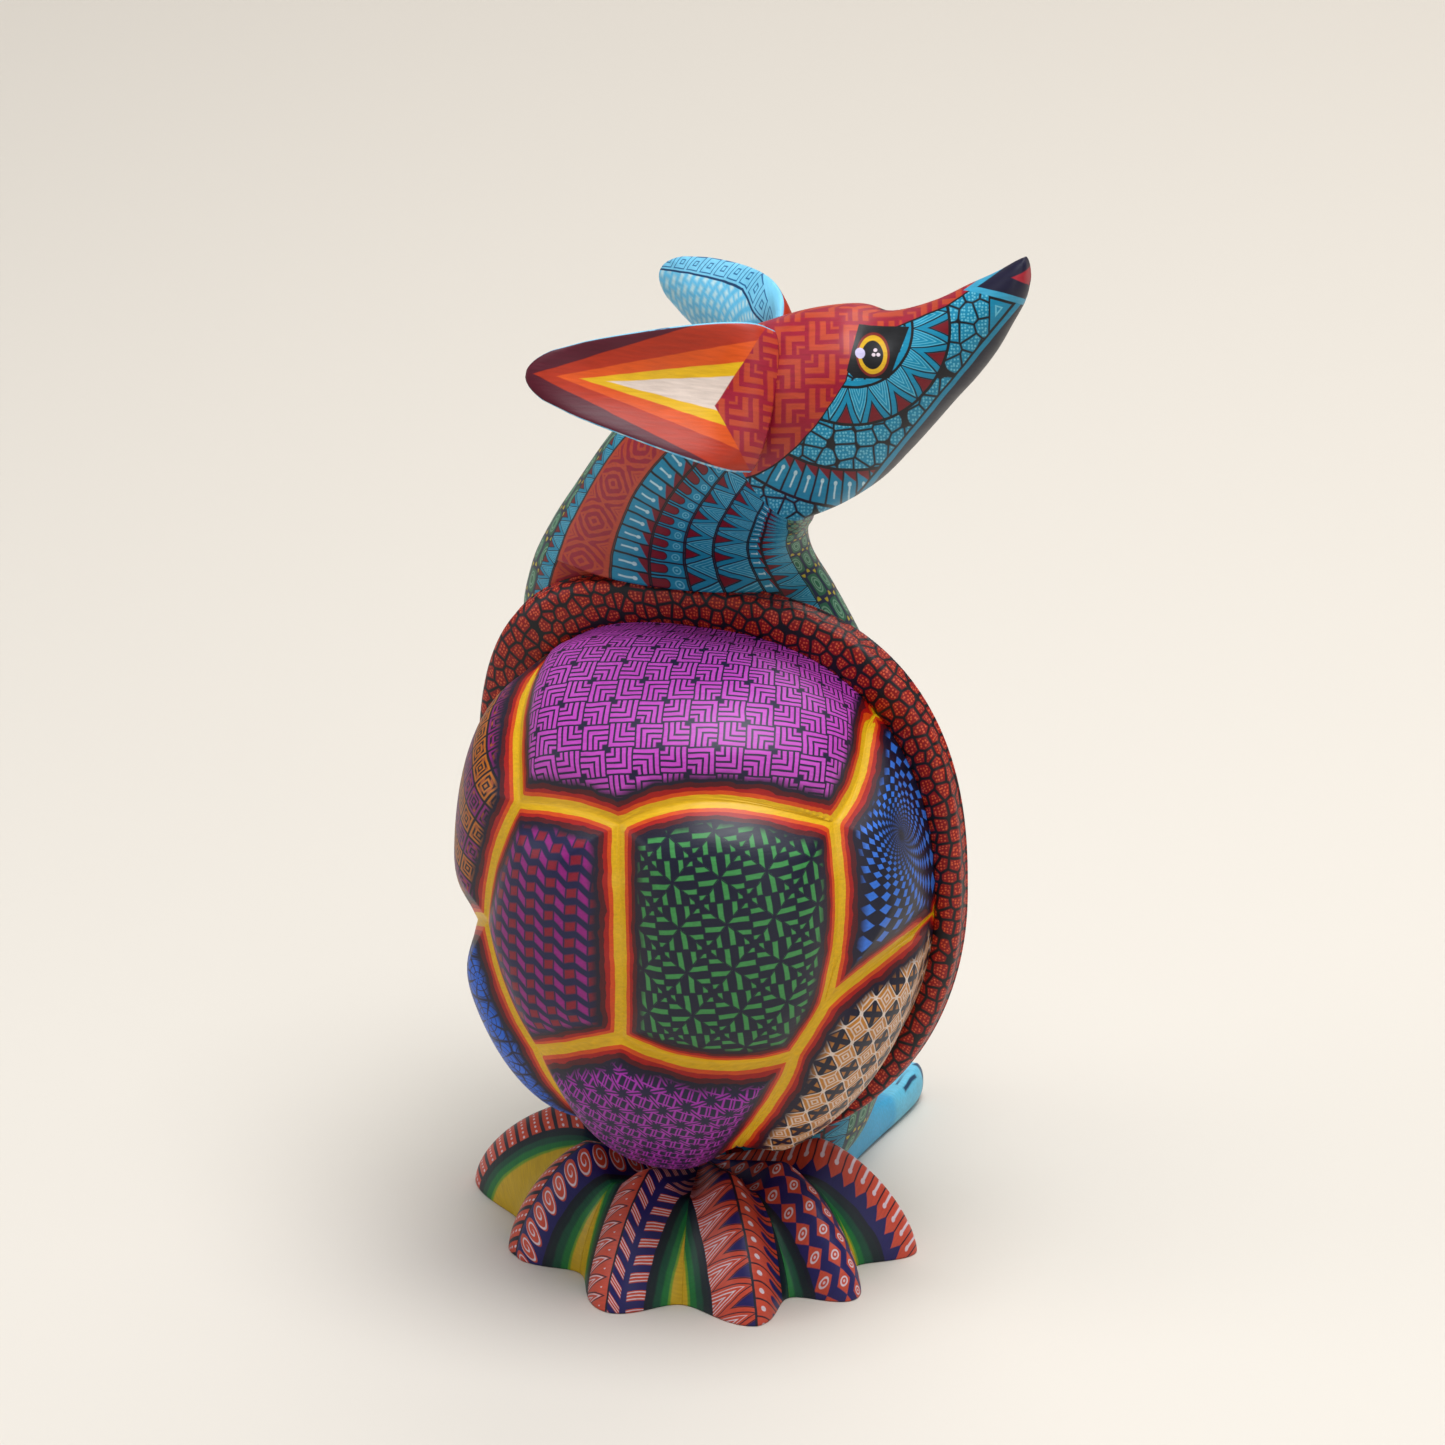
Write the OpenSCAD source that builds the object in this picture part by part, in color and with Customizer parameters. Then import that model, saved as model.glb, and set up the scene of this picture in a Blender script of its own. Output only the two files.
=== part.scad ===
// Carved and painted wooden animal: a fox-like head turned over the right shoulder, a tortoise shell on the
// back and a ribbed fan of a tail. The animal faces +Y, its right side is +X, and it stands on z = 0.

/* [Shell] */
// Half width of the shell on the animal's right
rim_right = 73; // [68:0.5:78]
// Half width on its left, where the shell is carved a little fuller
rim_left = 74.5; // [68:0.5:78]
// Height of the rim above the middle of the shell
rim_up = 83; // [78:1:88]
// Height of the rim below the middle of the shell
rim_down = 85; // [78:1:88]
// Height of the middle of the shell above the ground
dome_z = 113; // [108:1:118]
// How far the dome of scutes bulges out behind the back
dome_depth = 72.5; // [60:0.5:85]
// How much each scute swells above the groove beside it
scute_swell = 6; // [0:0.5:8]
// Width of the flange on the right and below
flange_w = 7; // [5:0.5:12]
// Width of the flange on the left
flange_left = 10.5; // [5:0.5:12]
// Width of the flange over the top of the dome
flange_top = 10.5; // [5:0.5:12]
// Thickness of the flange
flange_t = 7; // [5:0.5:8]

/* [Tail fan] */
// Radius where the ribs begin to curve down from under the shell
fan_shoulder = 34; // [28:1:40]
// Height of the fan where it goes under the shell
fan_h = 32; // [24:1:33]
// Depth of the valleys between the ribs
valley_depth = 13; // [4:0.5:14]

/* [Ears] */
// Half width of an ear at its widest
ear_half_w = 20; // [12:0.5:21]
// Depth of the hollow inside an ear
ear_cup = 7; // [2:0.5:9]
// Diameter of the peg that plugs an ear into the head
ear_peg_d = 6; // [4:0.5:7]
// How deep the peg goes into the head
ear_peg_depth = 14; // [10:1:18]
// How deep the peg is glued into the ear
ear_peg_grip = 5; // [3:0.5:6]
// Radial clearance of the peg in its hole, so that the ear pulls out
peg_clearance = 0.06; // [0.02:0.01:0.1]

/* [Limbs and joinery] */
// How much the haunches stand out from the body
haunch_swell = 9; // [0:1:12]
// Thickness of the feet under the body
foot_h = 14; // [10:1:18]
// Half width of a foot
foot_half_w = 10; // [7:0.5:11]
// Diameter of the glued dowels
dowel_d = 8; // [5:0.5:10]

/* [Hidden] */
$fn = 48;

// Middle of the object's own box at the ground, which becomes the origin
box_middle = [5.45, 17.7, 0];
back_y = flange_t;
shell_top = dome_z + rim_up;
head_y = 4;
seam = 0.3;

module place() {
    translate(-box_middle) children();
}

// ---- Curves and skins ----

function mix(a, b, t) = a + (b - a) * t;
function unit(v) = v / norm(v);
function power(v, p) = sign(v) * pow(abs(v), p);

// A smooth curve through a list of numbers or points, at t from 0 to the last index
function through(list, t) = let(
        last = len(list) - 1,
        i = min(floor(t), last - 1),
        f = t - i,
        a = list[max(i - 1, 0)], b = list[i], c = list[i + 1], d = list[min(i + 2, last)])
    b + 0.5 * f * (c - a + f * (2 * a - 5 * b + 4 * c - d + f * (3 * (b - c) + d - a)));

function middle(ring) = let(ones = [for (p = ring) 1]) ones * ring / len(ring);

// Closed solid through rings of equal length, each seen clockwise from the end of the skin
module skin(rings) {
    sides = len(rings[0]);
    count = len(rings);
    points = [each [for (ring = rings) each ring], middle(rings[0]), middle(rings[count - 1])];
    start = sides * count;
    walls = [for (i = [0 : count - 2], j = [0 : sides - 1]) let(
            a = i * sides + j, b = i * sides + (j + 1) % sides)
        each [[a, b, b + sides], [a, b + sides, a + sides]]];
    ends = [for (j = [0 : sides - 1]) let(k = (j + 1) % sides)
        each [[start, k, j], [start + 1, (count - 1) * sides + j, (count - 1) * sides + k]]];
    polyhedron(points, concat(walls, ends), convexity = 8);
}

// ---- Torso: x and z of the middle, tilt, half width, y of the middle and half depth of each ring ----

torso_rings = [
    [0, foot_h, 0, 26, 34, 30],
    [0, 22, 0, 30, 34, 34],
    [0, 45, 0, 35, 34, 37],
    [0, 75, 0, 43, 33, 37],
    [0, 105, 0, 47, 32, 36],
    [-5, 135, 0, 50, 31, 33],
    [-13, 155, 0, 52, 29, 30],
    [-18, 172, 0, 51.5, 27, 28.5],
    [-20.5, 189, 0, 45.5, 25, 27],
    [-19.8, 202, 2, 39, 22, 25],
    [-15, 214, 8, 34, 18, 25],
    [-7, 226, 20, 31, 13, 25],
    [3, 237, 42, 28, 8, 24],
    [12.5, 246.5, 62, 28, head_y, 24]];

function bell(x) = exp(-x * x);
// Swelling of the haunches on the lower front, on both sides
function haunch(a, z) = haunch_swell * bell((z - 44) / 22) * (bell((a - 232) / 30) + bell((a - 308) / 30));

function torso_ring(t) = let(r = through(torso_rings, t))
    [for (j = [0 : 35]) let(
            more = haunch(10 * j, r[1]),
            u = (r[3] + more) * cos(10 * j),
            y = r[4] - (r[5] + more) * sin(10 * j))
        [r[0] + u * cos(r[2]), r[1] < shell_top ? max(y, back_y) : y, r[1] - u * sin(r[2])]];

// ---- Head: upper point, lower point and half width of each ring, in the plane y = head_y ----

neck_ring = torso_rings[len(torso_rings) - 1];
head_rings = [
    [neck_ring[0] - 28 * cos(62), neck_ring[1] + 28 * sin(62),
        neck_ring[0] + 28 * cos(62), neck_ring[1] - 28 * sin(62), 24],
    [10, 276, 37, 228, 24.5],
    [23, 281.5, 47.5, 236, 24],
    [37, 285, 55.5, 245, 21],
    [45, 284, 62, 253, 18],
    [53, 286, 69, 262, 15],
    [63, 290.5, 75.5, 270, 12],
    [72, 296, 81, 278, 9.5],
    [80.5, 301, 85.5, 286.5, 7.5],
    [86, 304.8, 88.8, 293, 5.5],
    [89, 306.6, 90.3, 298.5, 3]];

function head_ring(t) = let(
        r = through(head_rings, t),
        top = [r[0], r[1]],
        low = [r[2], r[3]])
    [for (j = [0 : 31]) let(a = 11.25 * j, m = mix(top, low, 0.5 + 0.5 * power(cos(a), 0.95)))
        [m[0], head_y - r[4] * power(sin(a), 0.95), m[1]]];

// ---- Ears: a cupped leaf along a bent middle line, from a flat root against the head ----

// Root, direction of the peg, direction across the leaf at the root and at the tip, the tip itself, how far the
// ear runs along its peg before it bends back, and its share of the full width
right_ear_line = [[20, -18, 262.5], unit([-0.35, -0.84, 0.42]), unit([0, 0.45, 0.9]), unit([0, 0.45, 0.9]),
    [-38, -47, 272.5], 18, 1];
left_ear_line = [[11, 26, 258], unit([-0.35, 0.84, 0.42]), unit([0, -0.45, 0.9]), unit([0.3, 0.25, 0.92]),
    [-39, 53, 270], 12, 0.9];

function ear_bend(e) = e[0] + e[5] * e[1];
function ear_middle(e, t) = mix(mix(e[0], ear_bend(e), t), mix(ear_bend(e), e[4], t), t);
function ear_across(e, t) = unit(mix(e[2], e[3], t));
function ear_hollow_side(e, t) = sign(e[1][1])
    * unit(cross(mix(e[5] * e[1], e[4] - ear_bend(e), t), ear_across(e, t)));

// Share of the half width, share of the cup, and half thickness down the ear
ear_widths = [1, 1.04, 1, 0.9, 0.75, 0.55, 0.28];
ear_cups = [0, 0.25, 0.9, 1, 0.8, 0.5, 0];
ear_halves = [5, 5.2, 4.6, 3.6, 3, 2.3, 1.4];

// 1 down most of the ear, and rounded off to nearly 0 at the tip
function ear_rounding(t) = t < 0.93 ? 1 : sqrt(1 - 0.97 * pow((t - 0.93) / 0.07, 2));

function ear_ring(e, t) = let(
        w = e[6] * ear_half_w * through(ear_widths, t * 6) * ear_rounding(t),
        cup = ear_cup * through(ear_cups, t * 6),
        half = through(ear_halves, t * 6) * ear_rounding(t),
        turn = sign(e[1][1]))
    [for (j = [0 : 31]) let(
            v = cos(j * 360 / 32),
            side = -turn * sin(j * 360 / 32),
            lift = half * side - cup * (1 - v * v))
        ear_middle(e, t) + ear_across(e, t) * w * v + ear_hollow_side(e, t) * lift];

// Turns +Z onto a direction, at a place
module along(place, direction) {
    translate(place)
        rotate([0, acos(direction[2] / norm(direction)), atan2(direction[1], direction[0])])
            children();
}

module ear(e) {
    difference() {
        skin([for (i = [0 : 20]) ear_ring(e, 1 - pow(1 - i / 20, 1.6))]);
        along(e[0] - e[1], e[1]) cylinder(d = ear_peg_d, h = 1 + ear_peg_grip);
    }
}

module ear_peg(e) {
    along(e[0] - ear_peg_depth * e[1], e[1]) cylinder(d = ear_peg_d, h = ear_peg_depth + ear_peg_grip);
}

// Low boss on the head that the flat root of an ear sits on
module ear_boss(e) {
    depth = 12;
    rim = [for (j = [0 : 23]) e[2] * 15.5 * cos(15 * j) - cross(e[1], e[2]) * 7 * sin(15 * j)];
    skin([for (d = [-depth, seam]) [for (p = rim) e[0] + p + d * e[1]]]);
}

module ear_hole(e) {
    along(e[0] - (ear_peg_depth + 1) * e[1], e[1])
        cylinder(r = ear_peg_d / 2 + peg_clearance, h = ear_peg_depth + 2);
}

// Flat seat cut behind the root of an ear, so that the ear stands clear of the wood
module ear_seat(e) {
    along(e[0] - seam * e[1], e[1]) cylinder(r = 22, h = 18);
}

// ---- Shell ----

// Middle lines of the grooves between the scutes, as x and height above the middle of the dome
grooves = [
    [[-49.5, 62], [-40.5, 50.5], [-35, 38]],
    [[-35, 38], [-18, 40.5], [-2.5, 38.6]],
    [[-2.5, 38.6], [24, 46.5], [51.2, 37.7]],
    [[51.2, 37.7], [52.5, 45.5], [48, 54.5]],
    [[-2.5, 38.6], [0, 9], [-0.3, -23.7]],
    [[51.2, 37.7], [55.6, 13], [52.7, -13.2]],
    [[-35, 38], [-42.7, 18.3], [-46.5, -1]],
    [[-46.5, -1], [-39, -21], [-29.8, -36.1]],
    [[-46.5, -1], [-55, -7], [-61, -18]],
    [[-0.3, -23.7], [-13.6, -29], [-29.8, -36.1]],
    [[-0.3, -23.7], [23, -29.5], [44.9, -28.2]],
    [[52.7, -13.2], [59.4, -7.1], [66.5, -3]],
    [[52.7, -13.2], [49.5, -20], [44.9, -28.2]],
    [[44.9, -28.2], [36, -47], [14, -77]],
    [[-29.8, -36.1], [-26, -52], [-18, -77]]];

// Distance to the edge of an oval at angle a: its extents to the right, left, up and down, and how square its
// upper corners are on the right and on the left
function oval_r(a, right, left, up, down, square_right, square_left) = let(
        w = cos(a) > 0 ? right : left,
        h = sin(a) > 0 ? up : down,
        n = sin(a) < 0 ? 2 : cos(a) > 0 ? square_right : square_left)
    pow(pow(abs(cos(a)) / w, n) + pow(abs(sin(a)) / h, n), -1 / n);
function rim_r(a) = oval_r(a, rim_right, rim_left, rim_up, rim_down, 2.5, 3.6);
function dome_r(a) = oval_r(a, rim_right - flange_w, rim_left - flange_left, rim_up - flange_top,
    rim_down - flange_w, 2.3, 3);
function dome_share(x, z) = min(1, norm([x, z]) / dome_r(atan2(z, x)));
function dome_out(x, z) = dome_depth * pow(max(0, 1 - pow(dome_share(x, z), 2.8)), 1 / 2.4);
function on_dome(x, z) = [x, -dome_out(x, z), z];

function bent(line, t) = mix(mix(line[0], 2 * line[1] - (line[0] + line[2]) / 2, t),
    mix(2 * line[1] - (line[0] + line[2]) / 2, line[2], t), t);
groove_points = [for (line = grooves, k = [0 : 10]) let(p = bent(line, k / 10)) on_dome(p[0], p[1])];

function swell(p, share) = let(
        near = min([for (g = groove_points) norm(p - g)]),
        edge = (1 - share) * rim_right,
        d = min(near, norm([edge, p[1] * 0.5])))
    scute_swell * (1 - exp(-pow(d / 9, 2)));

function dome_point(share, a) = let(
        r = share * dome_r(a),
        p = on_dome(r * cos(a), r * sin(a)),
        out = unit([p[0] / pow(rim_right, 2), (p[1] - 4) / pow(dome_depth, 2), p[2] / pow(rim_up, 2)]))
    p + out * swell(p, share);

// Rings of the flange: the share of the way from the edge of the dome to the rim, and y
flange_rings = [[0.12, -1], [0.8, -0.5], [1, 1], [1, flange_t - 1.5], [0.8, flange_t]];

module shell_blank() {
    domes = [for (i = [1 : 26]) let(share = sin(90 * i / 26))
        [for (j = [0 : 71]) dome_point(share, 5 * j)]];
    flange = [for (f = flange_rings)
        [for (j = [0 : 71]) let(a = 5 * j, r = mix(dome_r(a), rim_r(a), f[0]))
            [r * cos(a), f[1], r * sin(a)]]];
    translate([0, 0, dome_z]) skin(concat(domes, flange));
}

// ---- Tail fan ----

// Where each rib points, in degrees from straight back, and the radius of its tip
ribs = [[-97, 75], [-47, 57], [-3, 64], [35, 69], [63, 66], [96, 64]];
fan_x = -5;
fan_eye = 4;
fan_end = 14;
fan_marks = concat([ribs[0] - [2 * fan_end, 0]], ribs, [ribs[len(ribs) - 1] + [2 * fan_end, 0]]);

// 0 on the crest of a rib and 1 in the channel between two, with the radius of the tips there
function rib_at(a) = let(
        i = max([for (k = [0 : len(fan_marks) - 2]) if (a >= fan_marks[k][0]) k]),
        f = (a - fan_marks[i][0]) / (fan_marks[i + 1][0] - fan_marks[i][0]))
    [(1 - cos(360 * f)) / 2, mix(fan_marks[i][1], fan_marks[i + 1][1], f)];

function fan_point(a, k) = let(
        rib = rib_at(a),
        h = fan_h - 0.6 * rib[0] * valley_depth,
        reach = rib[1] - rib[0] * valley_depth - fan_shoulder,
        out = 1 - pow(1 - max(k - 1, 0) / 13, 1.6),
        r = k == 0 ? fan_eye : fan_shoulder + reach * out,
        z = k == 0 ? 0.7 * fan_h : h * pow(1 - pow(out, 1.5), 0.65),
        x = fan_x + r * sin(a),
        y = -r * cos(a))
    [x, abs(x) < 46 ? min(y, back_y) : y, z];

module fan_blank() {
    steps = 96;
    first = ribs[0][0] - fan_end;
    span = ribs[len(ribs) - 1][0] + fan_end - first;
    skin([for (i = [steps : -1 : 0]) let(a = first + span * i / steps, inner = fan_point(a, 0))
        concat([[inner[0], inner[1], 0]], [for (k = [0 : 14]) fan_point(a, k)])]);
}

// ---- Limbs ----

// Rings square to a path of [x, y, z, radius]
function path_rings(path, count, sides) = [for (i = [0 : count]) let(
        t = (len(path) - 1) * i / count,
        p = through(path, t),
        q = through(path, min(t + 0.001, len(path) - 1)) - through(path, max(t - 0.001, 0)),
        dir = unit([q[0], q[1], q[2]]),
        side = unit(cross(dir, [0.2, 0.1, 1])),
        up = cross(side, dir))
    [for (j = [0 : sides - 1]) let(a = j * 360 / sides)
        [p[0], p[1], p[2]] + p[3] * (side * cos(a) + up * sin(a))]];

// Path and radius of a foreleg from its shoulder to its paw on the belly
foreleg_path = [[0, 0, 0, 11], [5, 9.5, -6, 12], [8, 14, -20, 11.5], [8, 17, -36, 10], [3, 19.5, -48, 9.5],
    [-5, 20.5, -55, 9.5], [-10, 20, -58, 7.5], [-13, 19.5, -60, 2]];
right_shoulder = [8, 61, 150];
left_shoulder = [-38, 57, 150];
shoulder_out = unit([5, 9.5, -6]);

module at_shoulder(right) {
    translate(right ? right_shoulder : left_shoulder) mirror([right ? 0 : 1, 0, 0]) children();
}

module foreleg(right) {
    at_shoulder(right) difference() {
        skin(path_rings(foreleg_path, 18, 20));
        shoulder_dowel();
    }
}

module shoulder_dowel() {
    along([0, 0, 0], shoulder_out) cylinder(d = dowel_d, h = 20, center = true);
}

// Round boss on the body that a foreleg is glued to
module shoulder_boss() {
    along(-12 * shoulder_out, shoulder_out) cylinder(r = 11, h = 12);
}

// Block behind the plane that the shell lies against, which trims the body flat
module behind_back() {
    translate([-100, back_y - 60, 0]) cube([200, 60, shell_top + seam]);
}

// Flat seat cut round the boss, which the foreleg lies in
module shoulder_seat() {
    along([0, 0, 0], shoulder_out) cylinder(r = 15, h = 16);
}

// y, half width and height down a foot, heel first
foot_rings = [[22, 0.5, 0.6], [24, 0.7, 0.9], [30, 0.85, 1], [60, 0.85, 1], [75, 0.9, 0.85], [88, 0.98, 0.75],
    [100, 1.02, 0.82], [107, 0.92, 0.8], [111.5, 0.7, 0.65], [113, 0.4, 0.4]];
foot_x = 13;

module foot(side) {
    difference() {
        skin([for (r = foot_rings) [for (j = [0 : 19]) let(h = foot_h * r[2])
            [side * foot_x + foot_half_w * r[1] * power(cos(18 * j), 0.6), r[0],
                max(0, min(h, h * (0.5 + 0.62 * power(sin(18 * j), 0.8))))]]]);
        foot_dowel(side);
    }
}

module foot_dowel(side) {
    translate([side * foot_x, 42, 5]) cylinder(d = dowel_d, h = 22);
}

neck = [neck_ring[0], head_y, neck_ring[1]];
neck_out = [sin(62), 0, cos(62)];

module neck_pin() {
    along(neck, neck_out) cylinder(d = dowel_d, h = 30, center = true);
}

// Block on one side of the joint between the body and the head, which trims them both flat
module beyond_neck(side) {
    along(neck, neck_out) translate([-50, -50, side > 0 ? 0 : -40]) cube([100, 100, 40]);
}

module shell_pins() {
    for (z = [70, 150]) translate([-5, back_y - 15, z]) rotate([-90, 0, 0]) cylinder(d = dowel_d, h = 30);
}

module tail_pins() {
    for (x = [-11, 11]) translate([x, back_y - 15, 19]) rotate([-90, 0, 0]) cylinder(d = 5, h = 28);
}

// ---- Nodes ----

module torso() {
    color("firebrick") place() difference() {
        union() {
            skin([for (i = [0 : 34]) torso_ring((len(torso_rings) - 1) * i / 34)]);
            for (right = [true, false]) at_shoulder(right) shoulder_boss();
        }
        for (right = [true, false]) at_shoulder(right) {
            shoulder_dowel();
            shoulder_seat();
        }
        for (side = [1, -1]) foot_dowel(side);
        for (e = [right_ear_line, left_ear_line]) ear_seat(e);
        behind_back();
        beyond_neck(1);
        neck_pin();
        shell_pins();
        tail_pins();
    }
}

module head() {
    color("crimson") place() difference() {
        union() {
            skin([for (i = [0 : 28]) head_ring((len(head_rings) - 1) * i / 28)]);
            for (e = [right_ear_line, left_ear_line]) ear_boss(e);
        }
        for (e = [right_ear_line, left_ear_line]) {
            ear_hole(e);
            ear_seat(e);
        }
        beyond_neck(-1);
        neck_pin();
    }
}

module neck_dowel() {
    color("burlywood") place() neck_pin();
}

module right_ear() {
    color("orangered") place() ear(right_ear_line);
}

module right_ear_peg() {
    color("burlywood") place() ear_peg(right_ear_line);
}

module left_ear() {
    color("skyblue") place() ear(left_ear_line);
}

module left_ear_peg() {
    color("burlywood") place() ear_peg(left_ear_line);
}

module carapace() {
    color("mediumorchid") place() difference() {
        shell_blank();
        shell_pins();
    }
}

module carapace_dowels() {
    color("burlywood") place() shell_pins();
}

module tail_fan() {
    color("indianred") place() difference() {
        fan_blank();
        tail_pins();
    }
}

module tail_dowels() {
    color("burlywood") place() tail_pins();
}

module right_foreleg() {
    color("mediumseagreen") place() foreleg(true);
}

module left_foreleg() {
    color("mediumseagreen") place() foreleg(false);
}

module foreleg_dowels() {
    color("burlywood") place() for (right = [true, false]) at_shoulder(right) shoulder_dowel();
}

module right_hind_foot() {
    color("deepskyblue") place() foot(1);
}

module left_hind_foot() {
    color("deepskyblue") place() foot(-1);
}

module foot_dowels() {
    color("burlywood") place() for (side = [1, -1]) foot_dowel(side);
}

torso();
head();
neck_dowel();
right_ear();
right_ear_peg();
left_ear();
left_ear_peg();
carapace();
carapace_dowels();
tail_fan();
tail_dowels();
right_foreleg();
left_foreleg();
foreleg_dowels();
right_hind_foot();
left_hind_foot();
foot_dowels();
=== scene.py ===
import math

import bpy
import numpy as np
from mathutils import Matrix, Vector


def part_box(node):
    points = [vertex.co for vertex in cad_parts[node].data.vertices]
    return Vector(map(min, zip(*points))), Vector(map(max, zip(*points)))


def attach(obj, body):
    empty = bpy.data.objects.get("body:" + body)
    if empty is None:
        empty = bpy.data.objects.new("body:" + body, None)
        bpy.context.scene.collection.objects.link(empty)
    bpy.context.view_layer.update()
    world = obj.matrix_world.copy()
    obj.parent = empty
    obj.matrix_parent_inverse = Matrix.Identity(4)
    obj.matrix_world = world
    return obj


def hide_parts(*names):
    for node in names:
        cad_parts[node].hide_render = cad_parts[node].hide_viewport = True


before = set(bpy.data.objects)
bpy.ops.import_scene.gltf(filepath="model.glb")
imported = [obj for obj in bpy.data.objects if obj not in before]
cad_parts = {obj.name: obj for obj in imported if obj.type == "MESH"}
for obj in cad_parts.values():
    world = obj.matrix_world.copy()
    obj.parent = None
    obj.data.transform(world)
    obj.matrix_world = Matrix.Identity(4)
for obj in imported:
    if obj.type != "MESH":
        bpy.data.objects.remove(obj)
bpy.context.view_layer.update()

# Lengths are in millimetres and angles in degrees until a mesh is made. The animal faces +Y, and the shell's
# middle line is x = 0, with the back of its flange at y = FLANGE_T, as in the CAD model. MIDDLE is where that
# origin lies in the frame.
MM = 0.001
RIM_RIGHT, RIM_LEFT, RIM_UP, RIM_DOWN = 73, 74.5, 83, 85
DOME_DEPTH, SCUTE_SWELL = 72.5, 6
FLANGE_W, FLANGE_LEFT, FLANGE_TOP, FLANGE_T = 7, 10.5, 10.5, 7
shell_high = np.array(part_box("carapace")[1]) / MM
DOME_Z = shell_high[2] - RIM_UP
MIDDLE = np.array([shell_high[0] - RIM_RIGHT, shell_high[1] - FLANGE_T, 0])
# Where a slanting cut parts the head from the neck: its middle, its tilt, and half its width
CUT_X, CUT_Z, CUT_TILT, CUT_HALF = 12.5, 246.5, 62, 28
# The photo's view, which the head and the ears are painted in: as numbers along x, y and z, what runs to the
# right in it and what runs up
SEEN_RIGHT, SEEN_UP = (0.927, 0.375, 0), (-0.140, 0.347, 0.927)


# ---- Curves ----

def through(rows, t):
    """A smooth curve through rows of numbers, at every t from 0 to the last row."""
    rows = np.array(rows, float)
    t = np.atleast_1d(np.asarray(t, float))
    last = len(rows) - 1
    i = np.minimum(np.floor(t).astype(int), last - 1)
    f = (t - i)[:, None]
    a, b = rows[np.maximum(i - 1, 0)], rows[i]
    c, d = rows[i + 1], rows[np.minimum(i + 2, last)]
    return b + 0.5 * f * (c - a + f * (2 * a - 5 * b + 4 * c - d + f * (3 * (b - c) + d - a)))


def unit(v):
    v = np.asarray(v, float)
    return v / np.linalg.norm(v, axis=-1, keepdims=True)


def power(v, p):
    return np.sign(v) * np.abs(v) ** p


def bell(x):
    return np.exp(-x * x)


def turn(count):
    """Angles once round, the last one the same place as the first."""
    return np.radians(np.linspace(0, 360, count + 1))


def run(points):
    """Distance along the rows of points, from the first row."""
    steps = np.linalg.norm(np.diff(points, axis=0), axis=-1)
    return np.concatenate([np.zeros_like(steps[:1]), np.cumsum(steps, axis=0)])


def grid(*values):
    """Three numbers at each point of a grid, from arrays that fit its shape."""
    return np.stack(np.broadcast_arrays(*values), axis=-1).astype(float)


# ---- Meshes ----

def piece(name, points, paint, material, replaces, body="figure", ends=(True, True)):
    """A mesh over a grid of points, one row to a ring. The last column is the first one again, and is joined
    to it. paint holds three numbers for each point, kept at the corners of the faces. ends says whether the
    first and the last ring are closed."""
    rows, columns = points.shape[:2]
    around = columns - 1
    corners = np.arange(rows * around).reshape(rows, around)
    corners = np.column_stack([corners, corners[:, 0]])
    shown = np.arange(rows * columns).reshape(rows, columns)

    def quads(index):
        sides = [index[:-1, :-1], index[:-1, 1:], index[1:, 1:], index[1:, :-1]]
        return np.stack(sides, axis=-1).reshape(-1, 4)

    verts = points[:, :-1].reshape(-1, 3)
    colours = paint.reshape(-1, 3)
    faces = quads(corners).tolist()
    looks = quads(shown).tolist()
    for row, closed, order in ((0, ends[0], -1), (rows - 1, ends[1], 1)):
        if closed:
            verts = np.vstack([verts, verts[corners[row, :-1]].mean(axis=0)])
            colours = np.vstack([colours, colours[shown[row]].mean(axis=0)])
            for j in range(around):
                pair = (j, j + 1)[::order]
                faces.append([int(corners[row, k]) for k in pair] + [len(verts) - 1])
                looks.append([int(shown[row, k]) for k in pair] + [len(colours) - 1])
    mesh = bpy.data.meshes.new(name)
    mesh.from_pydata(((verts + MIDDLE) * MM).tolist(), [], faces)
    layer = mesh.attributes.new("paint", "FLOAT_VECTOR", "CORNER")
    layer.data.foreach_set("vector", colours[np.concatenate(looks)].ravel())
    mesh.shade_smooth()
    mesh.validate()
    mesh.materials.append(material)
    made = bpy.data.objects.new(name, mesh)
    bpy.context.scene.collection.objects.link(made)
    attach(made, body)
    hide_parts(*replaces)


# ---- Paint: numbers and colours worked out by shader nodes ----

class Num:
    """A number in a shader, which Python's operators work on. & and | give the smaller and the larger of two,
    so on masks, which run from 0 to 1, they say both and either, and ~ says not."""

    def __init__(self, socket):
        self.socket = socket

    def __add__(self, other):
        return calc("ADD", self, other)

    def __sub__(self, other):
        return calc("SUBTRACT", self, other)

    def __rsub__(self, other):
        return calc("SUBTRACT", other, self)

    def __mul__(self, other):
        return calc("MULTIPLY", self, other)

    def __truediv__(self, other):
        return calc("DIVIDE", self, other)

    def __abs__(self):
        return calc("ABSOLUTE", self)

    def __neg__(self):
        return self * -1.0

    def __and__(self, other):
        return calc("MINIMUM", self, other)

    def __or__(self, other):
        return calc("MAXIMUM", self, other)

    def __invert__(self):
        return 1.0 - self

    __radd__ = __add__


def tree_of(*values):
    return next(v for v in values if isinstance(v, Num)).socket.id_data


def plug(value, socket):
    if isinstance(value, Num):
        value.socket.id_data.links.new(value.socket, socket)
    else:
        socket.default_value = value


def calc(operation, *values, clamp=False):
    node = tree_of(*values).nodes.new("ShaderNodeMath")
    node.operation = operation
    node.use_clamp = clamp
    for value, socket in zip(values, node.inputs):
        plug(value, socket)
    return Num(node.outputs[0])


def fract(a):
    return calc("FRACT", a)


def odd(a):
    """1 in every other unit of a, and 0 between."""
    return calc("FLOOR", fract(a * 0.5) * 2.0)


def below(a, b, soft=0.05):
    """1 where a is under b, and 0 above, with a soft edge."""
    return calc("ADD", (b - a) * (1 / soft), 0.5, clamp=True)


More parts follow.
